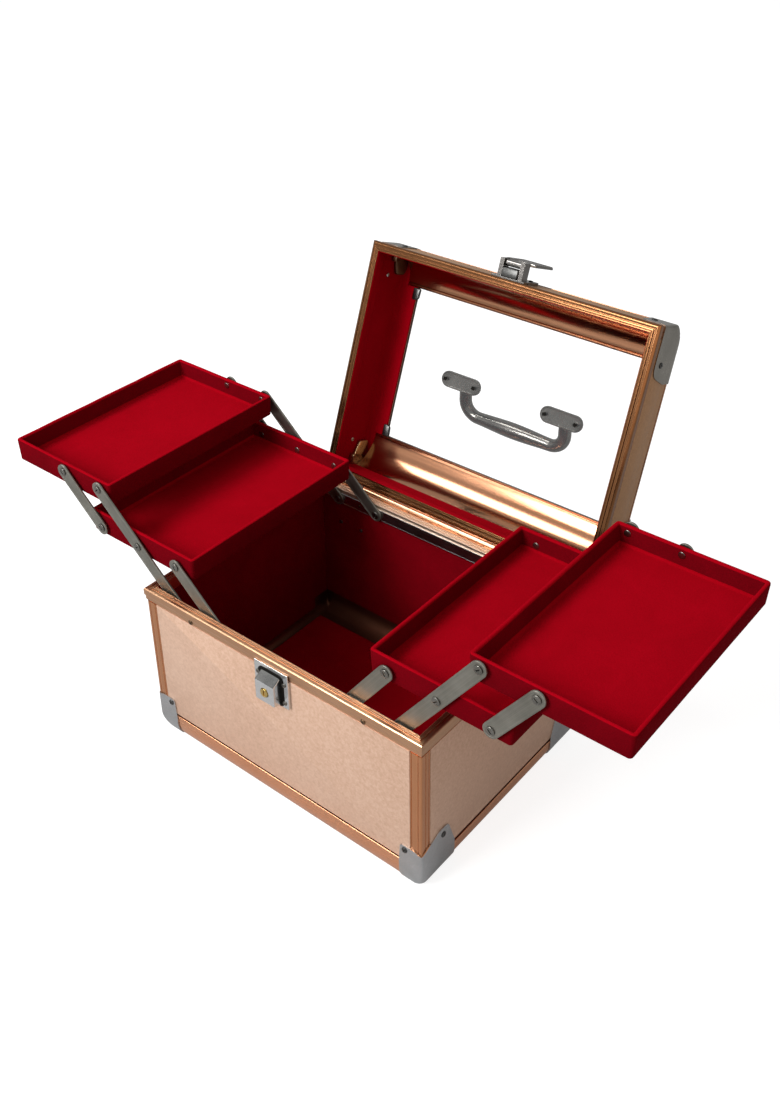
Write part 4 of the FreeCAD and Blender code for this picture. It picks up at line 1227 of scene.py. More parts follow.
@dataclass
class CornerSet:
    """Four pressed corners that follow the rounded edges of the case and soften towards their tips."""

    name: str
    front: CapLobe
    side: CapLobe
    notch: float
    front_round: RoundOver
    side_round: RoundOver
    tip: float
    outer: float = 0.8
    inner: float = 0.05
    lift: float = 0.3
    crease: float = 1.8
    rows: int = 18

    def spot(self, lobe: CapLobe, on_side: bool, away: float, z: float, grow: float) -> Point3:
        """Find one point of the skin.

        Args:
            lobe: The lobe that the point lies on.
            on_side: Whether it is the side lobe.
            away: Distance from the corner along the lobe.
            z: Height above the rounded end.
            grow: How far outside the shell the skin lies.

        Returns:
            The point, in the corner where X and Y are positive.
        """
        x = self.side_round.extent(SIZES.shell_x, z, grow)
        y = self.front_round.extent(SIZES.shell_y, z, grow)
        along, shell = (y, SIZES.shell_y) if on_side else (x, SIZES.shell_x)
        start = max(self.front_round.height, self.side_round.height)
        share = min(1.0, max(0.0, (start - z) / (start - 3.0)))
        radius = self.crease + (self.tip - self.crease) * share * share * (3 - 2 * share) + min(grow, 0.0)
        straight = along - (shell - lobe.reach)
        radius = max(0.05, min(radius, 0.85 * straight))
        half = radius * math.pi / 4
        run = away / lobe.reach * (straight - radius + half)
        turn = math.pi / 4 + (min(run, half) / radius) * (-1 if on_side else 1)
        px, py = x - radius + radius * math.cos(turn), y - radius + radius * math.sin(turn)
        rest = max(0.0, run - half)
        return (px, py - rest, z) if on_side else (px - rest, py, z)

    def column(self, lobe: CapLobe, on_side: bool, away: float, height: float) -> list[Point3]:
        """Draw the closed section of the sheet at one distance from the corner.

        Args:
            lobe: The lobe.
            on_side: Whether it is the side lobe.
            away: That distance.
            height: The sheet's top there.

        Returns:
            The section's points.
        """
        shares = [(row / self.rows) ** 1.8 for row in range(self.rows + 1)]
        heights = [self.lift + (height - self.lift) * share for share in shares]
        skin = [self.spot(lobe, on_side, away, z, self.outer) for z in heights]
        return skin + [self.spot(lobe, on_side, away, z, self.inner) for z in reversed(heights)]

    def lobe_columns(self, lobe: CapLobe, on_side: bool) -> list[list[Point3]]:
        """Draw a lobe's sections from the corner outwards.

        Args:
            lobe: The lobe.
            on_side: Whether it is the side lobe.

        Returns:
            The sections, the one at the corner first.
        """
        line = lobe.border(self.notch)
        places = sorted({away for away, _ in line} | {lobe.reach * step / 24 for step in range(25)})
        columns = []
        for away in places:
            last = max(index for index, point in enumerate(line) if point[0] <= away + 1e-9)
            here, after = line[last], line[min(last + 1, len(line) - 1)]
            share = (away - here[0]) / (after[0] - here[0]) if after[0] > here[0] else 0.0
            columns.append(self.column(lobe, on_side, away, here[1] + (after[1] - here[1]) * share))
        return columns

    def build(self, bench: Bench, body: str, node: str, seat: Matrix, material: Material, slot: str) -> None:
        """Make the four corners in place of their node.

        Args:
            bench: The bench.
            body: The body that they ride on.
            node: The node that they stand for.
            seat: Where the corners sit, with Z up from the rounded end.
            material: Their finish.
            slot: Not used.
        """
        whole = Form()
        for x, y in corner_signs():
            loops = self.lobe_columns(self.front, False)[:0:-1] + self.lobe_columns(self.side, True)
            whole.take(Form().loft(loops), seat @ mirrored(x, y))
        bench.show(whole, self.name, body, material, [node], angle=50)


@dataclass
class BaseShell:
    """The base's panels, bottom edges, posts, rim, caps and linings."""

    reveal: float = 0.35
    groove: float = 1.4
    side_groove: float = 2.0
    side_top: float = 16.5
    bead: float = 0.5
    rim: list[Corner] = field(default_factory=lambda: [
        (7.0, 120.0, 0.2), (7.0, 131.0, 0.4), (6.1, 131.0, 0.12), (6.0, 130.6, 0.08), (5.5, 130.6, 0.08),
        (5.4, 131.0, 0.12), (4.3, 131.0, 0.15), (4.1, 130.0, 0.1), (2.7, 130.0, 0.1), (2.5, 131.0, 0.15),
        (0.7, 131.0, 0.35), (0.0, 130.3, 0.4), (0.0, 125.6, 0.6), (0.7, 124.4, 0.3), (0.7, 121.8, 0.9),
        (1.7, 120.0, 0.3)])

    def panels(self, bench: Bench) -> None:
        """Make the outer panels with a thin gap round them.

        Args:
            bench: The bench.
        """
        wide = SIZES.shell_x - SIZES.post - self.reveal
        low, high = SIZES.front_round + self.groove, SIZES.rim_low - 0.05
        flat = rectangle(2 * wide, high - low, 0.5)
        outline = [(x, y + (low + high) / 2) for x, y in flat]
        for end, sign in (("front", -1), ("back", 1)):
            face = SIZES.shell_y * sign
            form = Form().plate(outline, 0.0, SIZES.wall, 0.25)
            seat = Matrix.Translation((0, face - (SIZES.wall if sign > 0 else 0) + SIZES.wall, 0)) @ ACROSS_Y
            bench.show(form.map_grain().move(seat), f"{end}_skin", "base", bench.palette.laminate,
                       [f"base_{end}_panel"])
        deep = SIZES.shell_y - SIZES.post - self.reveal
        notch = SIZES.shell_y - SIZES.front_round - self.reveal
        foot = self.side_top + self.side_groove
        corners = [(-notch, foot, 0.3), (notch, foot, 0.3), (notch, low, 0.2), (deep, low, 0.3),
                   (deep, high, 0.3), (-deep, high, 0.3), (-deep, low, 0.3), (-notch, low, 0.2)]
        whole = Form()
        for x in (SIZES.shell_x - SIZES.wall, -SIZES.shell_x):
            form = Form().plate(fillet(corners), 0.0, SIZES.wall, 0.2)
            whole.take(form, Matrix.Translation((x, 0, 0)) @ ACROSS_X)
        bench.show(whole, "side_skins", "base", bench.palette.laminate, ["base_side_panels"])

    def foot_bar(self, reach: float, top: float, radius: float, foot: RoundOver, run: float) -> Form:
        """Draw a rounded bottom edge with a bead along its upper border and a cove inside that is finished
        darker as painted shade.

        Args:
            reach: The outer face's distance from the middle of the case.
            top: Height of its upper border.
            radius: Radius of the outside of the cove.
            foot: The rounded outside.
            run: Half of its length.

        Returns:
            The bar, with the cove's faces marked for the second finish, the painted shade.
        """
        bead = self.bead
        edge = [(reach, top), (reach + bead * 0.7, top - 0.15), (reach + bead, top - 0.6),
                (reach + bead * 0.7, top - 1.05), (reach, top - 1.2), (reach - 0.25, top - 1.35),
                (reach - 0.25, top - 1.7), (reach, top - 1.85)]
        outer = edge + foot.line(reach)
        inner = arc((reach - radius, radius), radius - SIZES.wall, -90, 0, 14)
        if foot.depth < radius:
            outer.append((reach - radius, 0.0))
        if top > radius:
            inner.append((reach - SIZES.wall, top))
        form = Form().bar([(-out, z) for out, z in outer + inner], -run, run)
        for number, face in enumerate(form.mesh.faces):
            if len(outer) <= number < len(outer) + len(inner):
                face.material_index = 1
        return form

    def edges(self, bench: Bench) -> None:
        """Make the rounded bottom edges.

        Args:
            bench: The bench.
        """
        palette = bench.palette
        # The bottom edges take the brighter copy as painted light; their inner coves take the dark copy as
        # painted shade.
        run = SIZES.shell_x - SIZES.side_round
        for end, turn in (("front", Side.FRONT), ("back", Side.BACK)):
            form = self.foot_bar(SIZES.shell_y, SIZES.front_round, SIZES.front_round, SIZES.front_foot, run)
            bench.show(form.map_grain().move(QUARTER[turn.value]), f"{end}_foot_edge", "base", palette.foot,
                       [f"base_{end}_edge"], angle=24, second=palette.foot_inside)
        run = SIZES.shell_y - SIZES.front_round
        whole = Form()
        for turn in (Side.RIGHT, Side.LEFT):
            form = self.foot_bar(SIZES.shell_x, self.side_top, SIZES.side_round, SIZES.side_foot, run)
            whole.take(form, QUARTER[turn.value])
        bench.show(whole, "side_foot_edges", "base", palette.foot, ["base_side_edges"],
                   angle=24, second=palette.foot_inside)

    def build(self, bench: Bench) -> None:
        """Make and dress the whole base shell.

        Args:
            bench: The bench.
        """
        self.panels(bench)
        self.edges(bench)
        posts = PostSet("base_posts", SIZES.front_round, SIZES.rim_low)
        posts.build(bench, "base", "base_corner_posts", Matrix())
        rim = RimFrame("base_ridged_rim", self.rim)
        rim.build(bench, "base", "base_rim", Matrix(), bench.palette.rim, bench.palette.rear_rim_painted_light)
        caps = CornerSet("base_caps", CapLobe(18, 35, 6, 1, 20, 3.0), CapLobe(35, 41, 18, 7, 20), 33,
                         SIZES.front_foot, SIZES.side_foot, 5.5)
        caps.build(bench, "base", "base_corner_caps", Matrix(), bench.palette.chrome, "bright_chrome")
        # The base's fillers take the dark inner-cove finish as painted shade.
        plugs = CornerSet("base_corner_fillers", CapLobe(10, 20, 3, 2, 20), CapLobe(20, 20, 3, 2, 20), 20,
                          SIZES.front_foot, SIZES.side_foot, 5.5, -1.6, -3.0, 1.7)
        plugs.build(bench, "base", "base_corner_plugs", Matrix(), bench.palette.foot_inside, "anodised_rim")
        bench.paint(bench.palette.laminate, "base_bottom_panel")
        bench.paint(bench.palette.rim_x, "base_hinge_leaf")
        bench.paint(bench.palette.steel, "hinge_pin")
        # The base's wall lining takes the darker red flock as painted shade.
        bench.paint(bench.palette.lining, "base_wall_lining")
        bench.paint(bench.palette.flock, "base_floor_lining")


@dataclass
class LidShell:
    """The lid's panels, coved edges, posts, rim, caps, linings and window."""

    reveal: float = 0.35
    bead: float = 0.3
    rim: list[Corner] = field(default_factory=lambda: [
        (7.0, 140.3, 0.2), (7.0, 131.3, 0.4), (6.1, 131.3, 0.12), (6.0, 131.7, 0.08), (5.5, 131.7, 0.08),
        (5.4, 131.3, 0.12), (4.3, 131.3, 0.15), (4.1, 132.3, 0.1), (2.7, 132.3, 0.1), (2.5, 131.3, 0.15),
        (1.5, 131.3, 0.5), (0.0, 132.8, 0.7), (0.0, 135.4, 0.6), (0.7, 136.3, 0.3), (0.7, 138.8, 0.7),
        (1.5, 140.3, 0.3)])

    def panels(self, bench: Bench, seat: Matrix) -> None:
        """Make the lid's outer panels with a thin gap round them.

        Args:
            bench: The bench.
            seat: Where the lid lies.
        """
        # The lid's end and side skins take the darker laminate copy, painted shade.
        low, high = SIZES.lid_low + 0.05, SIZES.lid_high - self.reveal
        wide = SIZES.shell_x - SIZES.post - self.reveal
        deep = SIZES.shell_y - SIZES.post - self.reveal
        middle = (low + high) / 2
        for end, face in (("front", SIZES.wall - SIZES.shell_y), ("back", SIZES.shell_y)):
            outline = [(x, y + middle) for x, y in rectangle(2 * wide, high - low, 0.5)]
            form = Form().plate(outline, 0.0, SIZES.wall, 0.25)
            form.map_grain().move(seat @ Matrix.Translation((0, face, 0)) @ ACROSS_Y)
            bench.show(form, f"lid_{end}_skin", "lid", bench.palette.painted_shade_laminate,
                       [f"lid_{end}_panel"])
        notch = SIZES.shell_y - SIZES.lid_round - SIZES.front_flange - self.reveal
        crest = SIZES.lid_side_high - 0.6
        corners = [(-deep, low, 0.3), (deep, low, 0.3), (deep, high, 0.3), (notch, high, 0.2),
                   (notch, crest, 0.3), (-notch, crest, 0.3), (-notch, high, 0.2), (-deep, high, 0.3)]
        whole = Form()
        for x in (SIZES.shell_x - SIZES.wall, -SIZES.shell_x):
            form = Form().plate(fillet(corners), 0.0, SIZES.wall, 0.2)
            whole.take(form, seat @ Matrix.Translation((x, 0, 0)) @ ACROSS_X)
        bench.show(whole, "lid_side_skins", "lid", bench.palette.painted_shade_laminate,
                   ["lid_side_panels"])

    def edge_profile(self, reach: float, flange: float, rounding: float, cove: float) -> list[Point2]:
        """Draw a coved lid edge with beads, a flange and the window's seat.

        Args:
            reach: The outer face's distance from the middle of the case.
            flange: Width of the flat flange.
            rounding: Radius of the outside.
            cove: Radius of the inside.

        Returns:
            The section as (distance out, height).
        """
        top, wall, bead = SIZES.lid_top, SIZES.wall, self.bead
        low = top - rounding
        tip = reach - rounding - flange
        edge = [(reach, low), (reach + bead * 0.7, low + 0.15), (reach + bead, low + 0.6),
                (reach + bead * 0.7, low + 1.05), (reach, low + 1.2), (reach - 0.25, low + 1.35),
                (reach - 0.25, low + 1.7)]
        start = math.degrees(math.asin(1.85 / rounding))
        outer = arc((reach - rounding, low), rounding, start, 90, 14)
        seat = [(tip + 1.6, top), (tip + 1.3, top - 0.2), (tip + 0.9, top - 0.2), (tip + 0.6, top),
                (tip, top), (tip, top - 0.4), (tip + 3.1, top - 0.4), (tip + 3.1, top - 2.6),
                (tip, top - 2.6)]
        under = top - wall
        beads = [(tip, under), (tip + 0.5, under - 0.5), (tip + 1.1, under), (tip + 1.7, under),
                 (tip + 2.2, under - 0.45), (tip + 2.8, under)]
        hollow = reach - wall - cove
        begin = math.degrees(math.acos(max(0.0, tip + 3.0 - hollow) / cove))
        inner = arc((hollow, under - cove), cove, begin, 0, 24)
        foot = [(reach - wall, low)] if abs(under - cove - low) > 0.01 else []
        return edge + outer + seat + beads + inner + foot

    def edges(self, bench: Bench, seat: Matrix) -> None:
        """Make the coved edges round the window.

        Args:
            bench: The bench.
            seat: Where the lid lies.
        """
        # The coves take the deeper cove finish, painted shade and reflection.
        front = self.edge_profile(SIZES.shell_y, SIZES.front_flange, SIZES.lid_round, SIZES.lid_cove())
        run = SIZES.shell_x - SIZES.lid_side_round
        for end, turn in (("front", Side.FRONT), ("back", Side.BACK)):
            form = Form().bar([(-out, z) for out, z in front], -run, run)
            bench.show(form.map_grain().move(seat @ QUARTER[turn.value]), f"lid_{end}_cove", "lid",
                       bench.palette.cove, [f"lid_{end}_edge"], angle=24)
        side = self.edge_profile(SIZES.shell_x, SIZES.side_flange, SIZES.lid_side_round,
                                 SIZES.lid_side_round - SIZES.wall)
        run = SIZES.shell_y - SIZES.lid_round - SIZES.front_flange
        whole = Form()
        for turn in (Side.RIGHT, Side.LEFT):
            whole.take(Form().bar([(-out, z) for out, z in side], -run, run), seat @ QUARTER[turn.value])
        bench.show(whole, "lid_side_coves", "lid", bench.palette.cove, ["lid_side_edges"],
                   angle=24)

    def clips(self, bench: Bench, seat: Matrix) -> None:
        """Make the small dark clips that hold the window at its corners.

        Args:
            bench: The bench.
            seat: Where the lid lies.
        """
        whole = Form()
        x, y = 106.5, 62.6
        corners = [(x, y, 0.8), (x - 6.5, y, 1.5), (x - 6.0, y - 8.5, 2.5), (x - 2.0, y - 10.0, 2.0),
                   (x, y - 9.0, 1.0)]
        for sign_x, sign_y in corner_signs():
            form = Form().plate(fillet(corners), 173.4, 175.9, 0.5)
            whole.take(form, seat @ mirrored(sign_x, sign_y))
        bench.show(whole, "window_clips", "lid", bench.palette.stud)

    def brackets(self, bench: Bench, seat: Matrix) -> None:
        """Make the brackets at the lid's inner corners, gilt at the back and dark bronze in front as painted
        shade.

        Args:
            bench: The bench.
            seat: Where the lid lies.
        """
        tongue = fillet([(70, 160, 3), (84, 155, 3), (91, 155, 1), (91, 172, 1), (76, 173, 5), (70, 171, 5)])
        block = fillet([(80, 152.5, 2), (91, 152.5, 1), (91, 166, 1), (83, 166, 4)])
        wall = Matrix.Translation((119.2, 0, 0)) @ Matrix.Diagonal((-1, 1, 1, 1)) @ ACROSS_X
        # The front pair takes dark bronze as painted shade; the back pair is gilt.
        for end, sign_y, material in (("front", -1, bench.palette.bronze), ("back", 1, bench.palette.gilt)):
            whole = Form()
            for sign_x in (-1, 1):
                for outline, thick in ((tongue, 3.2), (block, 5.0)):
                    whole.take(Form().plate(outline, 0.0, thick, 1.1), seat @ mirrored(sign_x, sign_y) @ wall)
            bench.show(whole, f"lid_{end}_brackets", "lid", material, angle=40)

    def strips(self, bench: Bench, seat: Matrix) -> None:
        """Make the flocked strips that carry the lining over the rim's inner faces.

        Args:
            bench: The bench.
            seat: Where the lid lies.
        """
        whole = Form()
        for side in Side:
            long_side = side in (Side.FRONT, Side.BACK)
            along = (SIZES.half_length if long_side else SIZES.half_depth) - 7.0
            across = (SIZES.half_depth if long_side else SIZES.half_length) - 7.0
            outline = [(x, y + 136.4) for x, y in rectangle(2 * along, 8.4, 0.4)]
            place = Matrix.Translation((0, 0.5 - across, 0)) @ ACROSS_Y
            whole.take(Form().plate(outline, 0.0, 0.5, 0.15), seat @ QUARTER[side.value] @ place)
        bench.show(whole, "lid_rim_lining", "lid", bench.palette.flock)

    def build(self, bench: Bench) -> None:
        """Make and dress the whole lid shell.

        Args:
            bench: The bench.
        """
        seat = SIZES.lid()
        self.panels(bench, seat)
        self.edges(bench, seat)
        self.clips(bench, seat)
        self.brackets(bench, seat)
        self.strips(bench, seat)
        PostSet("lid_posts", SIZES.lid_low, SIZES.lid_high).build(bench, "lid", "lid_corner_posts", seat)
        # The lid's rim takes the darker anodised copy, painted shade.
        RimFrame("lid_ridged_rim", self.rim).build(bench, "lid", "lid_rim", seat, bench.palette.lid_rim_painted_shade,
                                                  bench.palette.lid_rim_painted_shade)
        crown = seat @ Matrix.Translation((0, 0, SIZES.lid_top)) @ Matrix.Diagonal((1, 1, -1, 1))
        front, side = (RoundOver(size, size) for size in (SIZES.lid_round, SIZES.lid_side_round))
        # The lid's corner caps take the darker chrome copy, painted shade.
        caps = CornerSet("lid_caps", CapLobe(20, 37.5, 5, 2, 20, 5.0), CapLobe(42, 38, 20, 6, 18, 12.0), 37.5,
                         front, side, 12.0, lift=-0.7)
        caps.build(bench, "lid", "lid_corner_caps", crown, bench.palette.shaded_cap_chrome, "bright_chrome")
        plugs = CornerSet("lid_corner_fillers", CapLobe(10, 17, 3, 2, 17), CapLobe(31, 17, 3, 2, 17), 17,
                          front, side, 12.0, -1.6, -3.0, 1.7)
        plugs.build(bench, "lid", "lid_corner_plugs", crown, bench.palette.rim_x, "anodised_rim")
        bench.paint(bench.palette.rim_x, "lid_hinge_leaf")
        bench.paint(bench.palette.flock, "lid_wall_lining")
        bench.paint(bench.palette.window, "lid_window")


@dataclass
class Tray:
    """A flocked tray with sloping long sides, soft edges and rounded inner corners."""

    node: str
    wall: float = 3.0
    floor: float = 2.5
    draft: float = 1.2
    corner: float = 2.6
    steps: int = 10
    shaded_rows: tuple[int, ...] = (0, 1, 2, 3, 9)

    def ring(self, low: Vector, high: Vector, z: float, step: float) -> list[Point3]:
        """Draw one ring of the tray's skin.

        Args:
            low: Lowest corner of the tray.
            high: Highest corner of the tray.
            z: Height of the ring.
            step: How far in from the outer skin the ring lies.

        Returns:
            The ring's points.
        """
        slope = self.draft * (high.z - z) / (high.z - low.z)
        wide = high.x - low.x - 2 * (slope + step)
        deep = high.y - low.y - 2 * step
        radius = max(self.corner - step * 0.75, 0.7)
        x, y = wide / 2 - radius, deep / 2 - radius
        points: list[Point2] = []
        for cx, cy, start in ((x, -y, -90), (x, y, 0), (-x, y, 90), (-x, -y, 180)):
            points += arc((cx, cy), radius, start, start + 90, 6)
        rounded: list[Point3] = []
        middle = (low + high) / 2
        for index, point in enumerate(points):
            after = points[(index + 1) % len(points)]
            shares = range(self.steps) if (index + 1) % 7 == 0 else range(1)
            for number in shares:
                share = number / len(shares)
                px, py = point[0] + (after[0] - point[0]) * share, point[1] + (after[1] - point[1]) * share
                wave = 0.12 * math.sin(px * 0.11 + z * 0.2) * math.sin(py * 0.13 + z * 0.1)
                rounded.append((middle.x + px * (1 + wave / 60), middle.y + py, z + wave * 0.5))
        return rounded

    def build(self, bench: Bench) -> None:
        """Make the tray in place of its node.

        Args:
            bench: The bench.
        """
        low, high = (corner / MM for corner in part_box(self.node))
        bottom = self.wall + 0.2
        tall = high.z - low.z
        stations = [(1.0, 0.0), (0.3, 0.3), (0.0, 1.0), (0.0, tall - 1.3), (0.25, tall - 0.55),
                    (0.8, tall - 0.1), (1.5, tall), (2.2, tall - 0.1), (2.75, tall - 0.55),
                    (self.wall, tall - 1.3), (bottom, self.floor + 1.8), (bottom + 0.35, self.floor + 0.75),
                    (bottom + 0.9, self.floor + 0.2), (bottom + 1.9, self.floor)]
        loops = [self.ring(low, high, low.z + z, step) for step, z in stations]
        form = Form().loft(loops)
        # The outer walls and the inner wall row take the darker flock as painted shade.
        for number, face in enumerate(form.mesh.faces):
            if number // len(loops[0]) in self.shaded_rows:
                face.material_index = 1
        bench.show(form, f"{self.node}_flocked", self.node, bench.palette.flock, [self.node],
                   angle=60, second=bench.palette.flock_shade)


@dataclass
class TrayWing:
    """One side's two trays, three pairs of arms and the rivets that join them."""

    wing: Wing
    rivets: RivetRow
    arm_width: float = 11.4
    lower_pivots: tuple[float, ...] = (0.0, 39.0, -39.0)
    upper_pivots: tuple[float, ...] = (0.0, 39.0)
    seed: int = 11

    def spot(self, along: float, steps: float) -> tuple[float, float]:
        """Give X and Z of a place on the linkage.

        Args:
            along: Distance outwards from the rail's outer pivot.
            steps: Arm pitches up the long arm.

        Returns:
            The place's X and Z.
        """
        rise, pitch = SIZES.rise(self.wing), SIZES.arm_pitch
        out = SIZES.pivot_x + along + steps * pitch * math.cos(rise)
        return self.wing.value * out, SIZES.pivot_z + steps * pitch * math.sin(rise)

    def arm_seat(self, x: float, z: float, end: int) -> Matrix:
        """Give the place of an arm, with its length along X and its thickness outwards along Z.

        Args:
            x: X of the first pivot.
            z: Z of the first pivot.
            end: The end of the case, -1 in front and 1 at the back.

        Returns:
            The arm's place.
        """
        rise = SIZES.rise(self.wing)
        along = Vector((self.wing.value * math.cos(rise), 0, math.sin(rise)))
        thick = Vector((0, end, 0))
        across = thick.cross(along)
        turn = Matrix((along, across, thick)).transposed().to_4x4()
        return Matrix.Translation((x, 0, z)) @ turn

    def arms(self, bench: Bench, node: str, pitches: int, root: tuple[float, float]) -> None:
        """Make a front and a back arm in place of their node.

        Args:
            bench: The bench.
            node: The node that they stand for.
            pitches: Length in arm pitches.
            root: X and Z of the first pivot.
        """
        whole = Form()
        for end in (-1, 1):
            outline = stadium(pitches * SIZES.arm_pitch, self.arm_width)
            form = Form().plate(outline, SIZES.arm_in, SIZES.arm_out, 0.4, dish=0.12, border=1.3)
            whole.take(form, self.arm_seat(root[0], root[1], end))
        bench.show(whole, f"{node}_pressed", node, bench.palette.steel, [node], angle=24)

    def tray_rivets(self, bench: Bench, node: str, pivots: Sequence[float], root: Point2) -> None:
        """Make the rivets of one tray, with their spacing collars and inner tails.

        Args:
            bench: The bench.
            node: The tray's node and body.
            pivots: Distances of the rivets outwards from the first one.
            root: X and Z of the first rivet.
        """
        seat = SIZES.arm_out + 0.15
        spots = [(Vector((root[0] + self.wing.value * at, end * seat, root[1])), Vector((0, end, 0)))
                 for end in (-1, 1) for at in pivots]
        inner = SIZES.tray_end - 3.0
        sizes = RivetSizes(3.2, 0.8, 1.6, seat - inner, 3.4, 0.7, 0.45, 3.1, seat - SIZES.arm_in + 0.15,
                           SIZES.arm_in - 0.15 - SIZES.tray_end, 2.6, 0.8)
        item = self.rivets.set_on(f"{node}_hinge_rivets", spots, sizes, bench.palette.rivet, self.seed)
        bench.settle(item, node, [f"{node}_rivets"])

    def build(self, bench: Bench) -> None:
        """Make the trays, arms and rivets of this side.

        Args:
            bench: The bench.
        """
        name = self.wing.name.lower()
        lower, upper = self.spot(0, 1), self.spot(0, 2)
        Tray(f"{name}_lower_tray").build(bench)
        Tray(f"{name}_upper_tray").build(bench)
        self.arms(bench, f"{name}_long_arms", 2, self.spot(0, 0))
        self.arms(bench, f"{name}_inner_arms", 1, self.spot(-SIZES.pivot_pitch, 0))
        self.arms(bench, f"{name}_outer_arms", 1, self.spot(SIZES.pivot_pitch, 1))
        self.tray_rivets(bench, f"{name}_lower_tray", self.lower_pivots, lower)
        self.tray_rivets(bench, f"{name}_upper_tray", self.upper_pivots, upper)


@dataclass
class ArmRails:
    """The steel rails inside the rims, with round ends, their pivots and their rivets."""

    rivets: RivetRow
    end: float = 9.0
    height: float = 10.0
    thick: float = 1.2
    face: float = 88.0
    rivet_x: float = 78.05
    rim_face: float = 94.3
    screw_x: tuple[float, ...] = (-100.0, -79.0, 79.0, 100.0)
    screw_place: Point2 = (89.3, 98.0)

    def build(self, bench: Bench) -> None:
        """Make both rails, the pivots that they carry and the rivets that hold them.

        Args:
            bench: The bench.
        """
        length = 2 * (SIZES.pivot_x + self.end) - self.height
        for end, sign in (("front", -1), ("back", 1)):
            form = Form().plate(stadium(length, self.height), 0.0, self.thick, 0.3, dish=0.1, border=1.0)
            low = self.face * sign + (0 if sign > 0 else self.thick)
            seat = Matrix.Translation((-length / 2, low, SIZES.pivot_z)) @ ACROSS_Y
            whole = Form().take(form, seat)
            bench.show(whole, f"{end}_pressed_rail", "base", bench.palette.chrome,
                       [f"arm_rail_{end}"], angle=24)
        seat = SIZES.arm_in - 0.15
        pivots = (SIZES.pivot_x, SIZES.pivot_x - SIZES.pivot_pitch)
        spots = [(Vector((x * at, end * seat, SIZES.pivot_z)), Vector((0, -end, 0)))
                 for end in (-1, 1) for x in (-1, 1) for at in pivots]
        sizes = RivetSizes(3.2, 0.8, 1.6, self.face - seat, 3.4, 0.7, 0.45)
        item = self.rivets.set_on("rail_pivots", spots, sizes, bench.palette.rivet, 3)
        bench.settle(item, "base", ["arm_pivots"])
        spots = [(Vector((x * self.rivet_x, end * self.rim_face, SIZES.pivot_z)), Vector((0, end, 0)))
                 for end in (-1, 1) for x in (-1, 1)]
        sizes = RivetSizes(1.9, 0.8, 1.2, self.rim_face - self.face + self.thick, 2.4, 0.6, 0.45)
        item = self.rivets.set_on("rim_screws", spots, sizes, bench.palette.bronze, 5)
        bench.settle(item, "base", ["arm_rail_rivets"])
        spots = [(Vector((x, *self.screw_place)), Vector((0, -1, 0))) for x in self.screw_x]
        item = self.rivets.set_on("lining_screws", spots, LINING_RIVET, bench.palette.rivet, 7)
        bench.settle(item, "base", [])


@dataclass
class CapRivets:
    """The rivets of the caps and of the lid's lining, placed for the shut case's right back corner."""

    rivets: RivetRow
    base_end: Point3 = (110.5, 94.6, 31.0)
    base_side: Point3 = (124.6, 71.1, 34.8)
    lid_end: Point3 = (109.8, 94.6, 154.0)
    lid_side: Point3 = (124.6, 66.0, 150.0)
    lining: Point3 = (119.3, 69.0, 152.5)

    @staticmethod
    def at(place: Point3, x: int, y: int) -> Vector:
        """Mirror a place to the corner with these signs."""
        return Vector((x * place[0], y * place[1], place[2]))

    def build(self, bench: Bench) -> None:
        """Set the rivets on base and lid.

        Args:
            bench: The bench.
        """
        sizes = RivetSizes(2.2, 0.8, 1.2, 3.0, 2.6, 0.6, 0.5)
        spots = []
        for x, y in corner_signs():
            spots += [(self.at(self.base_end, x, y), Vector((0, y, 0))),
                      (self.at(self.base_side, x, y), Vector((x, 0, 0)))]
        item = self.rivets.set_on("base_cap_studs", spots, sizes, bench.palette.stud, 13)
        bench.settle(item, "base", ["base_cap_rivets"])
        turn = SIZES.lid()
        spots = []
        for x, y in corner_signs():
            spots += [(turn @ self.at(self.lid_end, x, y), turn.to_3x3() @ Vector((0, y, 0))),
                      (turn @ self.at(self.lid_side, x, y), turn.to_3x3() @ Vector((x, 0, 0)))]
        item = self.rivets.set_on("lid_cap_studs", spots, sizes, bench.palette.stud, 17)
        bench.settle(item, "lid", ["lid_cap_rivets"])
        spots = [(turn @ self.at(self.lining, x, y), turn.to_3x3() @ Vector((-x, 0, 0)))
                 for x, y in corner_signs()]
        item = self.rivets.set_on("lid_lining_rivets", spots, LINING_RIVET, bench.palette.chrome, 19)
        bench.settle(item, "lid", [])


@dataclass
class KeeperLock:
    """The keeper plate on the front, with its sprung lock, key cylinder and rivets."""

    rivets: RivetRow
    face: float = 96.2
    shadow_patch: tuple[float, float] = (23.0, 26.0)
    shadow_patch_z: float = 110.2
    rivet_x: float = 11.8
    rivet_z: tuple[float, float] = (101.5, 117.0)

    def build(self, bench: Bench) -> None:
        """Make the plate, a near-black sheet round the lock as painted shadow, the lock and the rivets.

        Args:
            bench: The bench.
        """
        palette = bench.palette
        bench.softened("keeper_plate", "keeper_pressing", "base", palette.polished, 0.35)
        hump = Form.copy_of(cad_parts["lock_housing"]).map_grain()
        # The hump's upward faces take the near-black stud finish as painted shade, for the dark gap above it.
        for face in hump.mesh.faces:
            face.material_index = int(face.normal.z > 0.3)
        bench.show(hump, "lock_hump", "base", palette.polished, ["lock_housing"], 0.7,
                   second=palette.stud)
        bench.softened("lock_cylinder", "lock_plug", "lock_cylinder", palette.brass, 0.15)
        # A near-black sheet on the plate round the lock, painted shadow.
        shadow_patch = Form().plate(rectangle(*self.shadow_patch, 5.0, 8), 0.0, 0.3, 0.1)
        shadow_patch.map_grain().move(Matrix.Translation((0, -self.face, self.shadow_patch_z)) @ ACROSS_Y)
        bench.show(shadow_patch, "lock_shadow_patch", "base", palette.shadow)
        spots = [(Vector((x * self.rivet_x, -self.face, z)), Vector((0, -1, 0)))
                 for z in self.rivet_z for x in (-1, 1)]
        item = self.rivets.set_on("keeper_studs", spots, PLATE_RIVET, palette.rivet, 23)
        bench.settle(item, "base", ["keeper_rivets"])


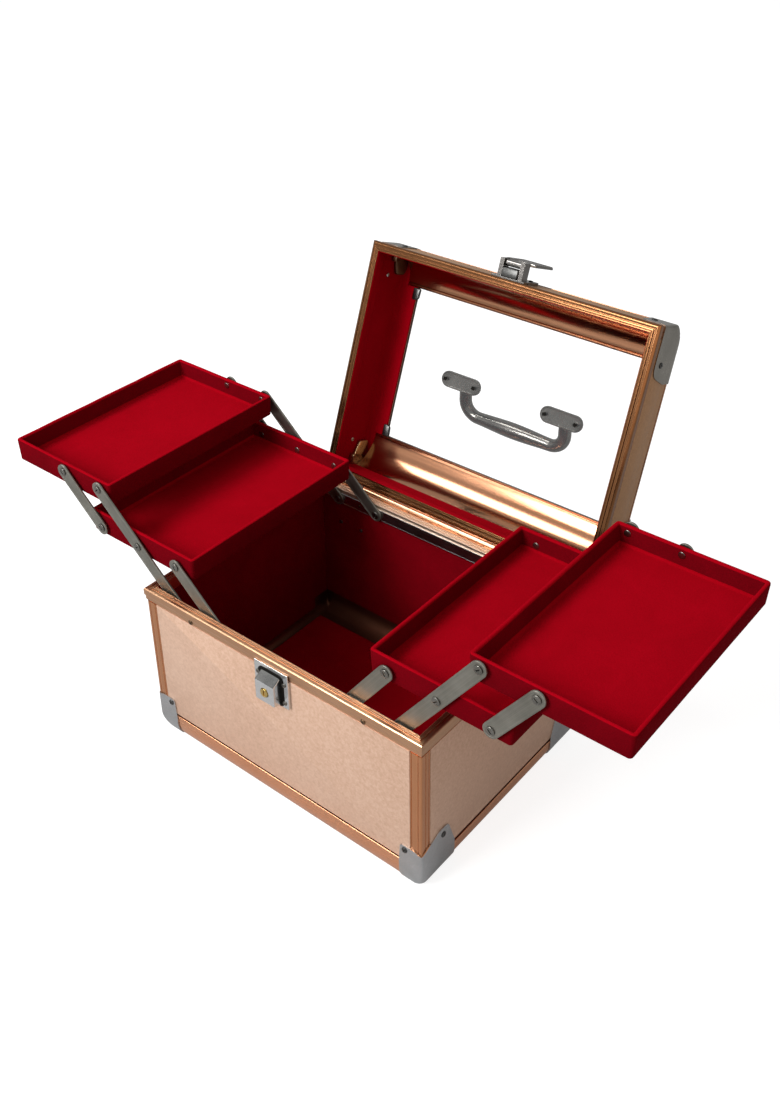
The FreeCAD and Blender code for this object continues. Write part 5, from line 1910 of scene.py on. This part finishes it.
@dataclass
class Latch:
    """The latch on the lid's front: plate with ears, pin, rivets and swinging lever."""

    rivets: RivetRow
    pin: Point3 = (0.0, -106.2, 139.0)
    lean: float = 2.0
    width: float = 27.0
    length: float = 37.0
    face: float = 96.2
    shade_block_face: float = 96.3
    rivet_x: float = 10.0
    rivet_z: float = 150.0

    def lever_seat(self) -> Matrix:
        """Give the lever's place, about its pin."""
        turn = Matrix.Rotation(math.radians(SIZES.open_angle + self.lean), 4, Vector((-1, 0, 0)))
        return Matrix.Translation(SIZES.lid() @ Vector(self.pin)) @ turn

    def lever(self, bench: Bench) -> None:
        """Make the lever: knuckle, neck, pressed plate with a raised frame, and a pointed lip at its end.

        Args:
            bench: The bench.
        """
        half, length = self.width / 2, self.length
        plate = fillet([(-half, 7.5, 2), (-7, 0.5, 1), (7, 0.5, 1), (half, 7.5, 2), (half, length - 3, 3),
                        (4.5, length, 2), (0, length + 2.6, 1.5), (-4.5, length, 2), (-half, length - 3, 3)])
        whole = Form()
        upright = Matrix.Translation((0, -0.9, 0)) @ ACROSS_Y
        whole.take(Form().plate(plate, 0.0, 1.5, 0.35), upright)
        frame_out = fillet([(-half, 7.5, 2), (half, 7.5, 2), (half, length - 3, 3), (-half, length - 3, 3)])
        stations = [(0.0, 1.2), (0.1, 1.9), (0.5, 2.3), (1.7, 2.3), (2.3, 1.9), (2.7, 1.3), (2.0, 0.9),
                    (0.6, 0.9)]
        loops = [[(x, y, z) for x, y in inset(frame_out, step)] for step, z in stations]
        whole.take(Form().loft([*loops, loops[0]], capped=False), upright)
        side = half - 6
        pad = fillet([(-side, 13, 2), (side, 13, 2), (side, length - 9, 2), (-side, length - 9, 2)])
        whole.take(Form().plate(pad, 1.3, 2.0, 0.3), upright)
        whole.take(Form().lathe([(-7.0, 2.0), (-6.7, 2.4), (6.7, 2.4), (7.0, 2.0)]))
        whole.move(self.lever_seat())
        bench.show(whole, "latch_flap", "latch_lever", bench.palette.nickel, ["latch_lever"],
                   angle=35)

    def build(self, bench: Bench) -> None:
        """Make the plate, the lever with its raised frame, the pin and the rivets.

        Args:
            bench: The bench.
        """
        palette = bench.palette
        bench.softened("latch_base_plate", "latch_bracket", "lid", palette.nickel, 0.3)
        self.lever(bench)
        bench.paint(palette.nickel, "latch_pin")
        turn = SIZES.lid()
        # A block between the ears, finished near black as painted shade.
        block = Form().plate([(x, y + self.pin[2]) for x, y in rectangle(13.8, 10.5, 1.0)], 0.0, 6.6, 0.5)
        block.map_grain().move(turn @ Matrix.Translation((0, -self.shade_block_face, 0)) @ ACROSS_Y)
        bench.show(block, "latch_shade_block", "lid", palette.stud)
        out = turn.to_3x3() @ Vector((0, -1, 0))
        spots = [(turn @ Vector((x * self.rivet_x, -self.face, self.rivet_z)), out) for x in (-1, 1)]
        item = self.rivets.set_on("latch_studs", spots, PLATE_RIVET, palette.stud, 29)
        bench.settle(item, "lid", ["latch_rivets"])


@dataclass
class Handle:
    """The carrying handle: two pads on the window, their screws and the swinging bail."""

    rivets: RivetRow
    reach: float = 46.5
    drop: float = 28.0
    bend: float = 13.0
    leg: float = 5.2
    grip: float = 6.6
    eye: float = 4.4
    axis: float = 186.8
    pad: tuple[float, float] = (37.0, 13.0)
    pad_low: float = 178.5
    pad_thick: float = 2.5
    lug: tuple[float, float] = (5.6, 8.1)
    screw_x: float = 13.5
    screw_z: float = 176.5

    def path(self) -> tuple[list[Vector], list[float]]:
        """Lay out the bail from one eye to the other.

        Returns:
            The path's points and the bail's radius at each.
        """
        steps = 14
        left = [Vector((-self.reach, 0, z)) for z in (0.0, -5.0, -10.0)]
        centre = Vector((self.bend - self.reach, 0, self.bend - self.drop))
        left += [centre + Vector((-math.cos(turn), 0, -math.sin(turn))) * self.bend
                 for turn in (math.pi / 2 * step / steps for step in range(steps + 1))]
        run = self.reach - self.bend
        middle = [Vector((run * share, 0, -self.drop)) for share in (number / 10 for number in range(-9, 10))]
        right = [Vector((-point.x, 0, point.z)) for point in reversed(left)]
        path = left + middle + right
        radii = [self.leg + (self.grip - self.leg) * max(0.0, math.cos(point.x / run * math.pi / 2)) ** 1.5
                 if abs(point.x) < run else min(self.leg, self.eye - 0.1 - point.z * 0.1) for point in path]
        return path, radii

    def feet(self) -> Form:
        """Draw the two pads with their pairs of tapered lugs, as on the shut lid.

        Returns:
            The pads, as one form.
        """
        whole = Form()
        length, width = self.pad
        high = self.pad_low + self.pad_thick
        outline = [(x - (length - width) / 2, y) for x, y in stadium(length - width, width)]
        cheek = fillet([(-5.5, high - 0.5, 0.3), (5.5, high - 0.5, 0.3), (3.2, self.axis + 3.2, 2.8),
                        (-3.2, self.axis + 3.2, 2.8)], 8)
        for sign in (-1, 1):
            spot = Matrix.Translation((sign * self.reach, 0, 0))
            whole.take(Form().plate(outline, self.pad_low, high, 0.5, dish=0.2, border=1.1), spot)
            for low, far in (self.lug, (-self.lug[1], -self.lug[0])):
                whole.take(Form().plate(cheek, low, far, 0.4), spot @ ACROSS_X)
        return whole

    def build(self, bench: Bench) -> None:
        """Make the bail, the pads and the screws.

        Args:
            bench: The bench.
        """
        palette = bench.palette
        path, radii = self.path()
        whole = Form().take(Form().tube(path, radii, Vector((0, 1, 0)), 0.94, 28))
        for sign in (-1, 1):
            turned = ((-5.5, -1.5), (-5.3, -0.6), (-4.6, 0.0), (4.6, 0.0), (5.3, -0.6), (5.5, -1.5))
            eye = Form().lathe([(x, self.eye + step) for x, step in turned])
            whole.take(eye, Matrix.Translation((sign * self.reach, 0, 0)))
            pin = Form().lathe([(-8.1, 1.6), (-7.9, 2.0), (7.9, 2.0), (8.1, 1.6)], 20)
            whole.take(pin, Matrix.Translation((sign * self.reach, 0, 0)))
        seat = Matrix.Translation(SIZES.lid() @ Vector((0, 0, self.axis)))
        whole.move(seat)
        bench.show(whole, "handle_grip", "handle_bail", palette.grip, ["handle_bail"])
        turn = SIZES.lid()
        feet = self.feet().move(turn)
        bench.show(feet, "handle_feet", "lid", palette.grip, ["handle_pads"], angle=12)
        inwards = turn.to_3x3() @ Vector((0, 0, -1))
        spots = [(turn @ Vector((x * self.reach + side * self.screw_x, 0, self.screw_z)), inwards)
                 for x in (-1, 1) for side in (-1, 1)]
        sizes = RivetSizes(2.6, 0.7, 1.5, 4.5, 2.6, 2.6, 0.55)
        item = self.rivets.set_on("handle_bolts", spots, sizes, palette.grip, 31)
        bench.settle(item, "lid", ["handle_screws"])


# Studio


@dataclass
class PhotoCamera:
    """The camera at the photograph's angle, for a frame of 780 by 1108."""

    azimuth: float = 39.37
    elevation: float = 29.84
    roll: float = -0.79
    aside: float = -0.0177
    above: float = -0.1686
    distance: float = 0.9039
    focal: float = 1244.2
    centre_y: float = 413.8
    frame_height: float = 1108
    sensor: float = 36
    aim: Point3 = (0.0, 0.0, 0.08)

    def build(self) -> None:
        """Make the camera and set it as the scene's."""
        turn, tilt, lean = (math.radians(angle) for angle in (self.azimuth, self.elevation, self.roll))
        back = Vector((math.sin(turn) * math.cos(tilt), -math.cos(turn) * math.cos(tilt), math.sin(tilt)))
        right = (-back).cross(Vector((0, 0, 1))).normalized()
        up = right.cross(-back)
        across = right * math.cos(lean) + up * math.sin(lean)
        upward = up * math.cos(lean) - right * math.sin(lean)
        data = bpy.data.cameras.new("photo_camera")
        data.lens = self.focal / self.frame_height * self.sensor
        data.sensor_width = self.sensor
        data.shift_y = (self.centre_y - self.frame_height / 2) / self.frame_height
        data.clip_start, data.clip_end = 0.01, 50
        camera = bpy.data.objects.new("photo_camera", data)
        place = Vector(self.aim) + back * self.distance - across * self.aside - upward * self.above
        camera.matrix_world = Matrix.Translation(place) @ Matrix((across, upward, back)).transposed().to_4x4()
        bpy.context.scene.collection.objects.link(camera)
        bpy.context.scene.camera = camera


@dataclass
class Studio:
    """A pale floor, a white surround and soft lamps."""

    ambient: tuple[float, float] = (0.26, 0.56)
    bright_way: Point3 = (-0.72, -0.48, 0.5)
    floor_tone: float = 0.35
    floor_lift: float = 0.82

    def seen_white(self, board: NodeBoard) -> Socket:
        """Say where a ray comes straight from the camera, or by way of metal or glass.

        Args:
            board: Where the nodes go.

        Returns:
            The share of white that is seen.
        """
        path = board.add("ShaderNodeLightPath")
        seen = board.maths("MAXIMUM", path.outputs["Is Camera Ray"], path.outputs["Is Transmission Ray"])
        return board.maths("MAXIMUM", seen, board.maths("MULTIPLY", path.outputs["Is Glossy Ray"], 0.15))

    def floor(self) -> None:
        """Make the pale floor, which keeps the object's shadow."""
        mesh = bpy.data.meshes.new("studio_floor")
        reach = 9.0
        mesh.from_pydata([(-reach, -reach, -0.0004), (reach, -reach, -0.0004), (reach, reach, -0.0004),
                          (-reach, reach, -0.0004)], [], [(0, 1, 2, 3)])
        item = bpy.data.objects.new("studio_floor", mesh)
        bpy.context.scene.collection.objects.link(item)
        material = bpy.data.materials.new("pale_floor")
        material.use_nodes = True
        board = NodeBoard(material.node_tree)
        material.node_tree.nodes.clear()
        tone = self.floor_tone
        matt = board.add("ShaderNodeBsdfDiffuse", {"Color": (tone, tone, tone, 1)})
        glow = board.add("ShaderNodeEmission", {"Color": (1, 1, 1, 1)})
        board.wire(board.maths("MULTIPLY", self.seen_white(board), self.floor_lift), glow.inputs["Strength"])
        both = board.add("ShaderNodeAddShader")
        board.wire(matt.outputs[0], both.inputs[0])
        board.wire(glow.outputs[0], both.inputs[1])
        board.wire(both.outputs[0], board.add("ShaderNodeOutputMaterial").inputs["Surface"])
        mesh.materials.append(material)

    def surround(self) -> None:
        """Make the world: white where it is seen, a plain level where it lights."""
        world = bpy.data.worlds.new("studio_surround")
        bpy.context.scene.world = world
        world.use_nodes = True
        board = NodeBoard(world.node_tree)
        ground = world.node_tree.nodes["Background"]
        ground.inputs["Color"].default_value = (1, 1, 1, 1)
        way = board.add("ShaderNodeVectorMath", {1: self.bright_way}, operation="DOT_PRODUCT")
        board.wire(board.add("ShaderNodeTexCoord").outputs["Generated"], way.inputs[0])
        low, high = self.ambient
        spread = board.add("ShaderNodeMapRange", {"From Min": -1.0, "From Max": 1.0, "To Min": low,
                                                  "To Max": high})
        board.wire(way.outputs["Value"], spread.inputs["Value"])
        level = board.add("ShaderNodeMapRange", {"To Max": 1.0})
        board.wire(spread.outputs["Result"], level.inputs["To Min"])
        board.wire(self.seen_white(board), level.inputs["Value"])
        board.wire(level.outputs["Result"], ground.inputs["Strength"])

    def lamp(self, name: str, place: Point3, size: float, power: float, tint: Colour = (1, 1, 1)) -> None:
        """Hang one soft lamp that faces the case.

        Args:
            name: Name of the lamp.
            place: Where it hangs, in metres.
            size: Side of its square face.
            power: Its power in watts.
            tint: Its colour.
        """
        data = bpy.data.lights.new(name, "AREA")
        data.shape, data.size, data.energy, data.color = "SQUARE", size, power, tint
        item = bpy.data.objects.new(name, data)
        item.location = place
        item.rotation_euler = (Vector((0, 0, 0.1)) - Vector(place)).to_track_quat("-Z", "Y").to_euler()
        bpy.context.scene.collection.objects.link(item)

    def build(self) -> None:
        """Set up floor, surround, lamps and the view transform."""
        bpy.context.scene.view_settings.view_transform = "Standard"
        self.floor()
        self.surround()
        self.lamp("key_lamp", (-0.55, -1.8, 1.3), 0.9, 46.0)
        self.lamp("top_lamp", (-0.95, -0.3, 1.95), 0.7, 15.0)
        self.lamp("side_lamp", (1.7, -0.4, 0.7), 1.2, 5.0, (1.0, 0.8, 0.62))


def main() -> None:
    """Build every sub-assembly in order and note how many pieces were made."""
    logging.basicConfig(level=logging.INFO, format="%(name)s: %(message)s")
    bench = Bench(Palette())
    rivets = RivetRow(bench.palette.shadow)
    BaseShell().build(bench)
    LidShell().build(bench)
    for wing in Wing:
        TrayWing(wing, rivets).build(bench)
    for part in (ArmRails(rivets), CapRivets(rivets), KeeperLock(rivets), Latch(rivets), Handle(rivets)):
        part.build(bench)
    PhotoCamera().build()
    Studio().build()
    bpy.context.view_layer.update()
    log.info("%d pieces made", len(bench.made))


if __name__ == "__main__":
    main()
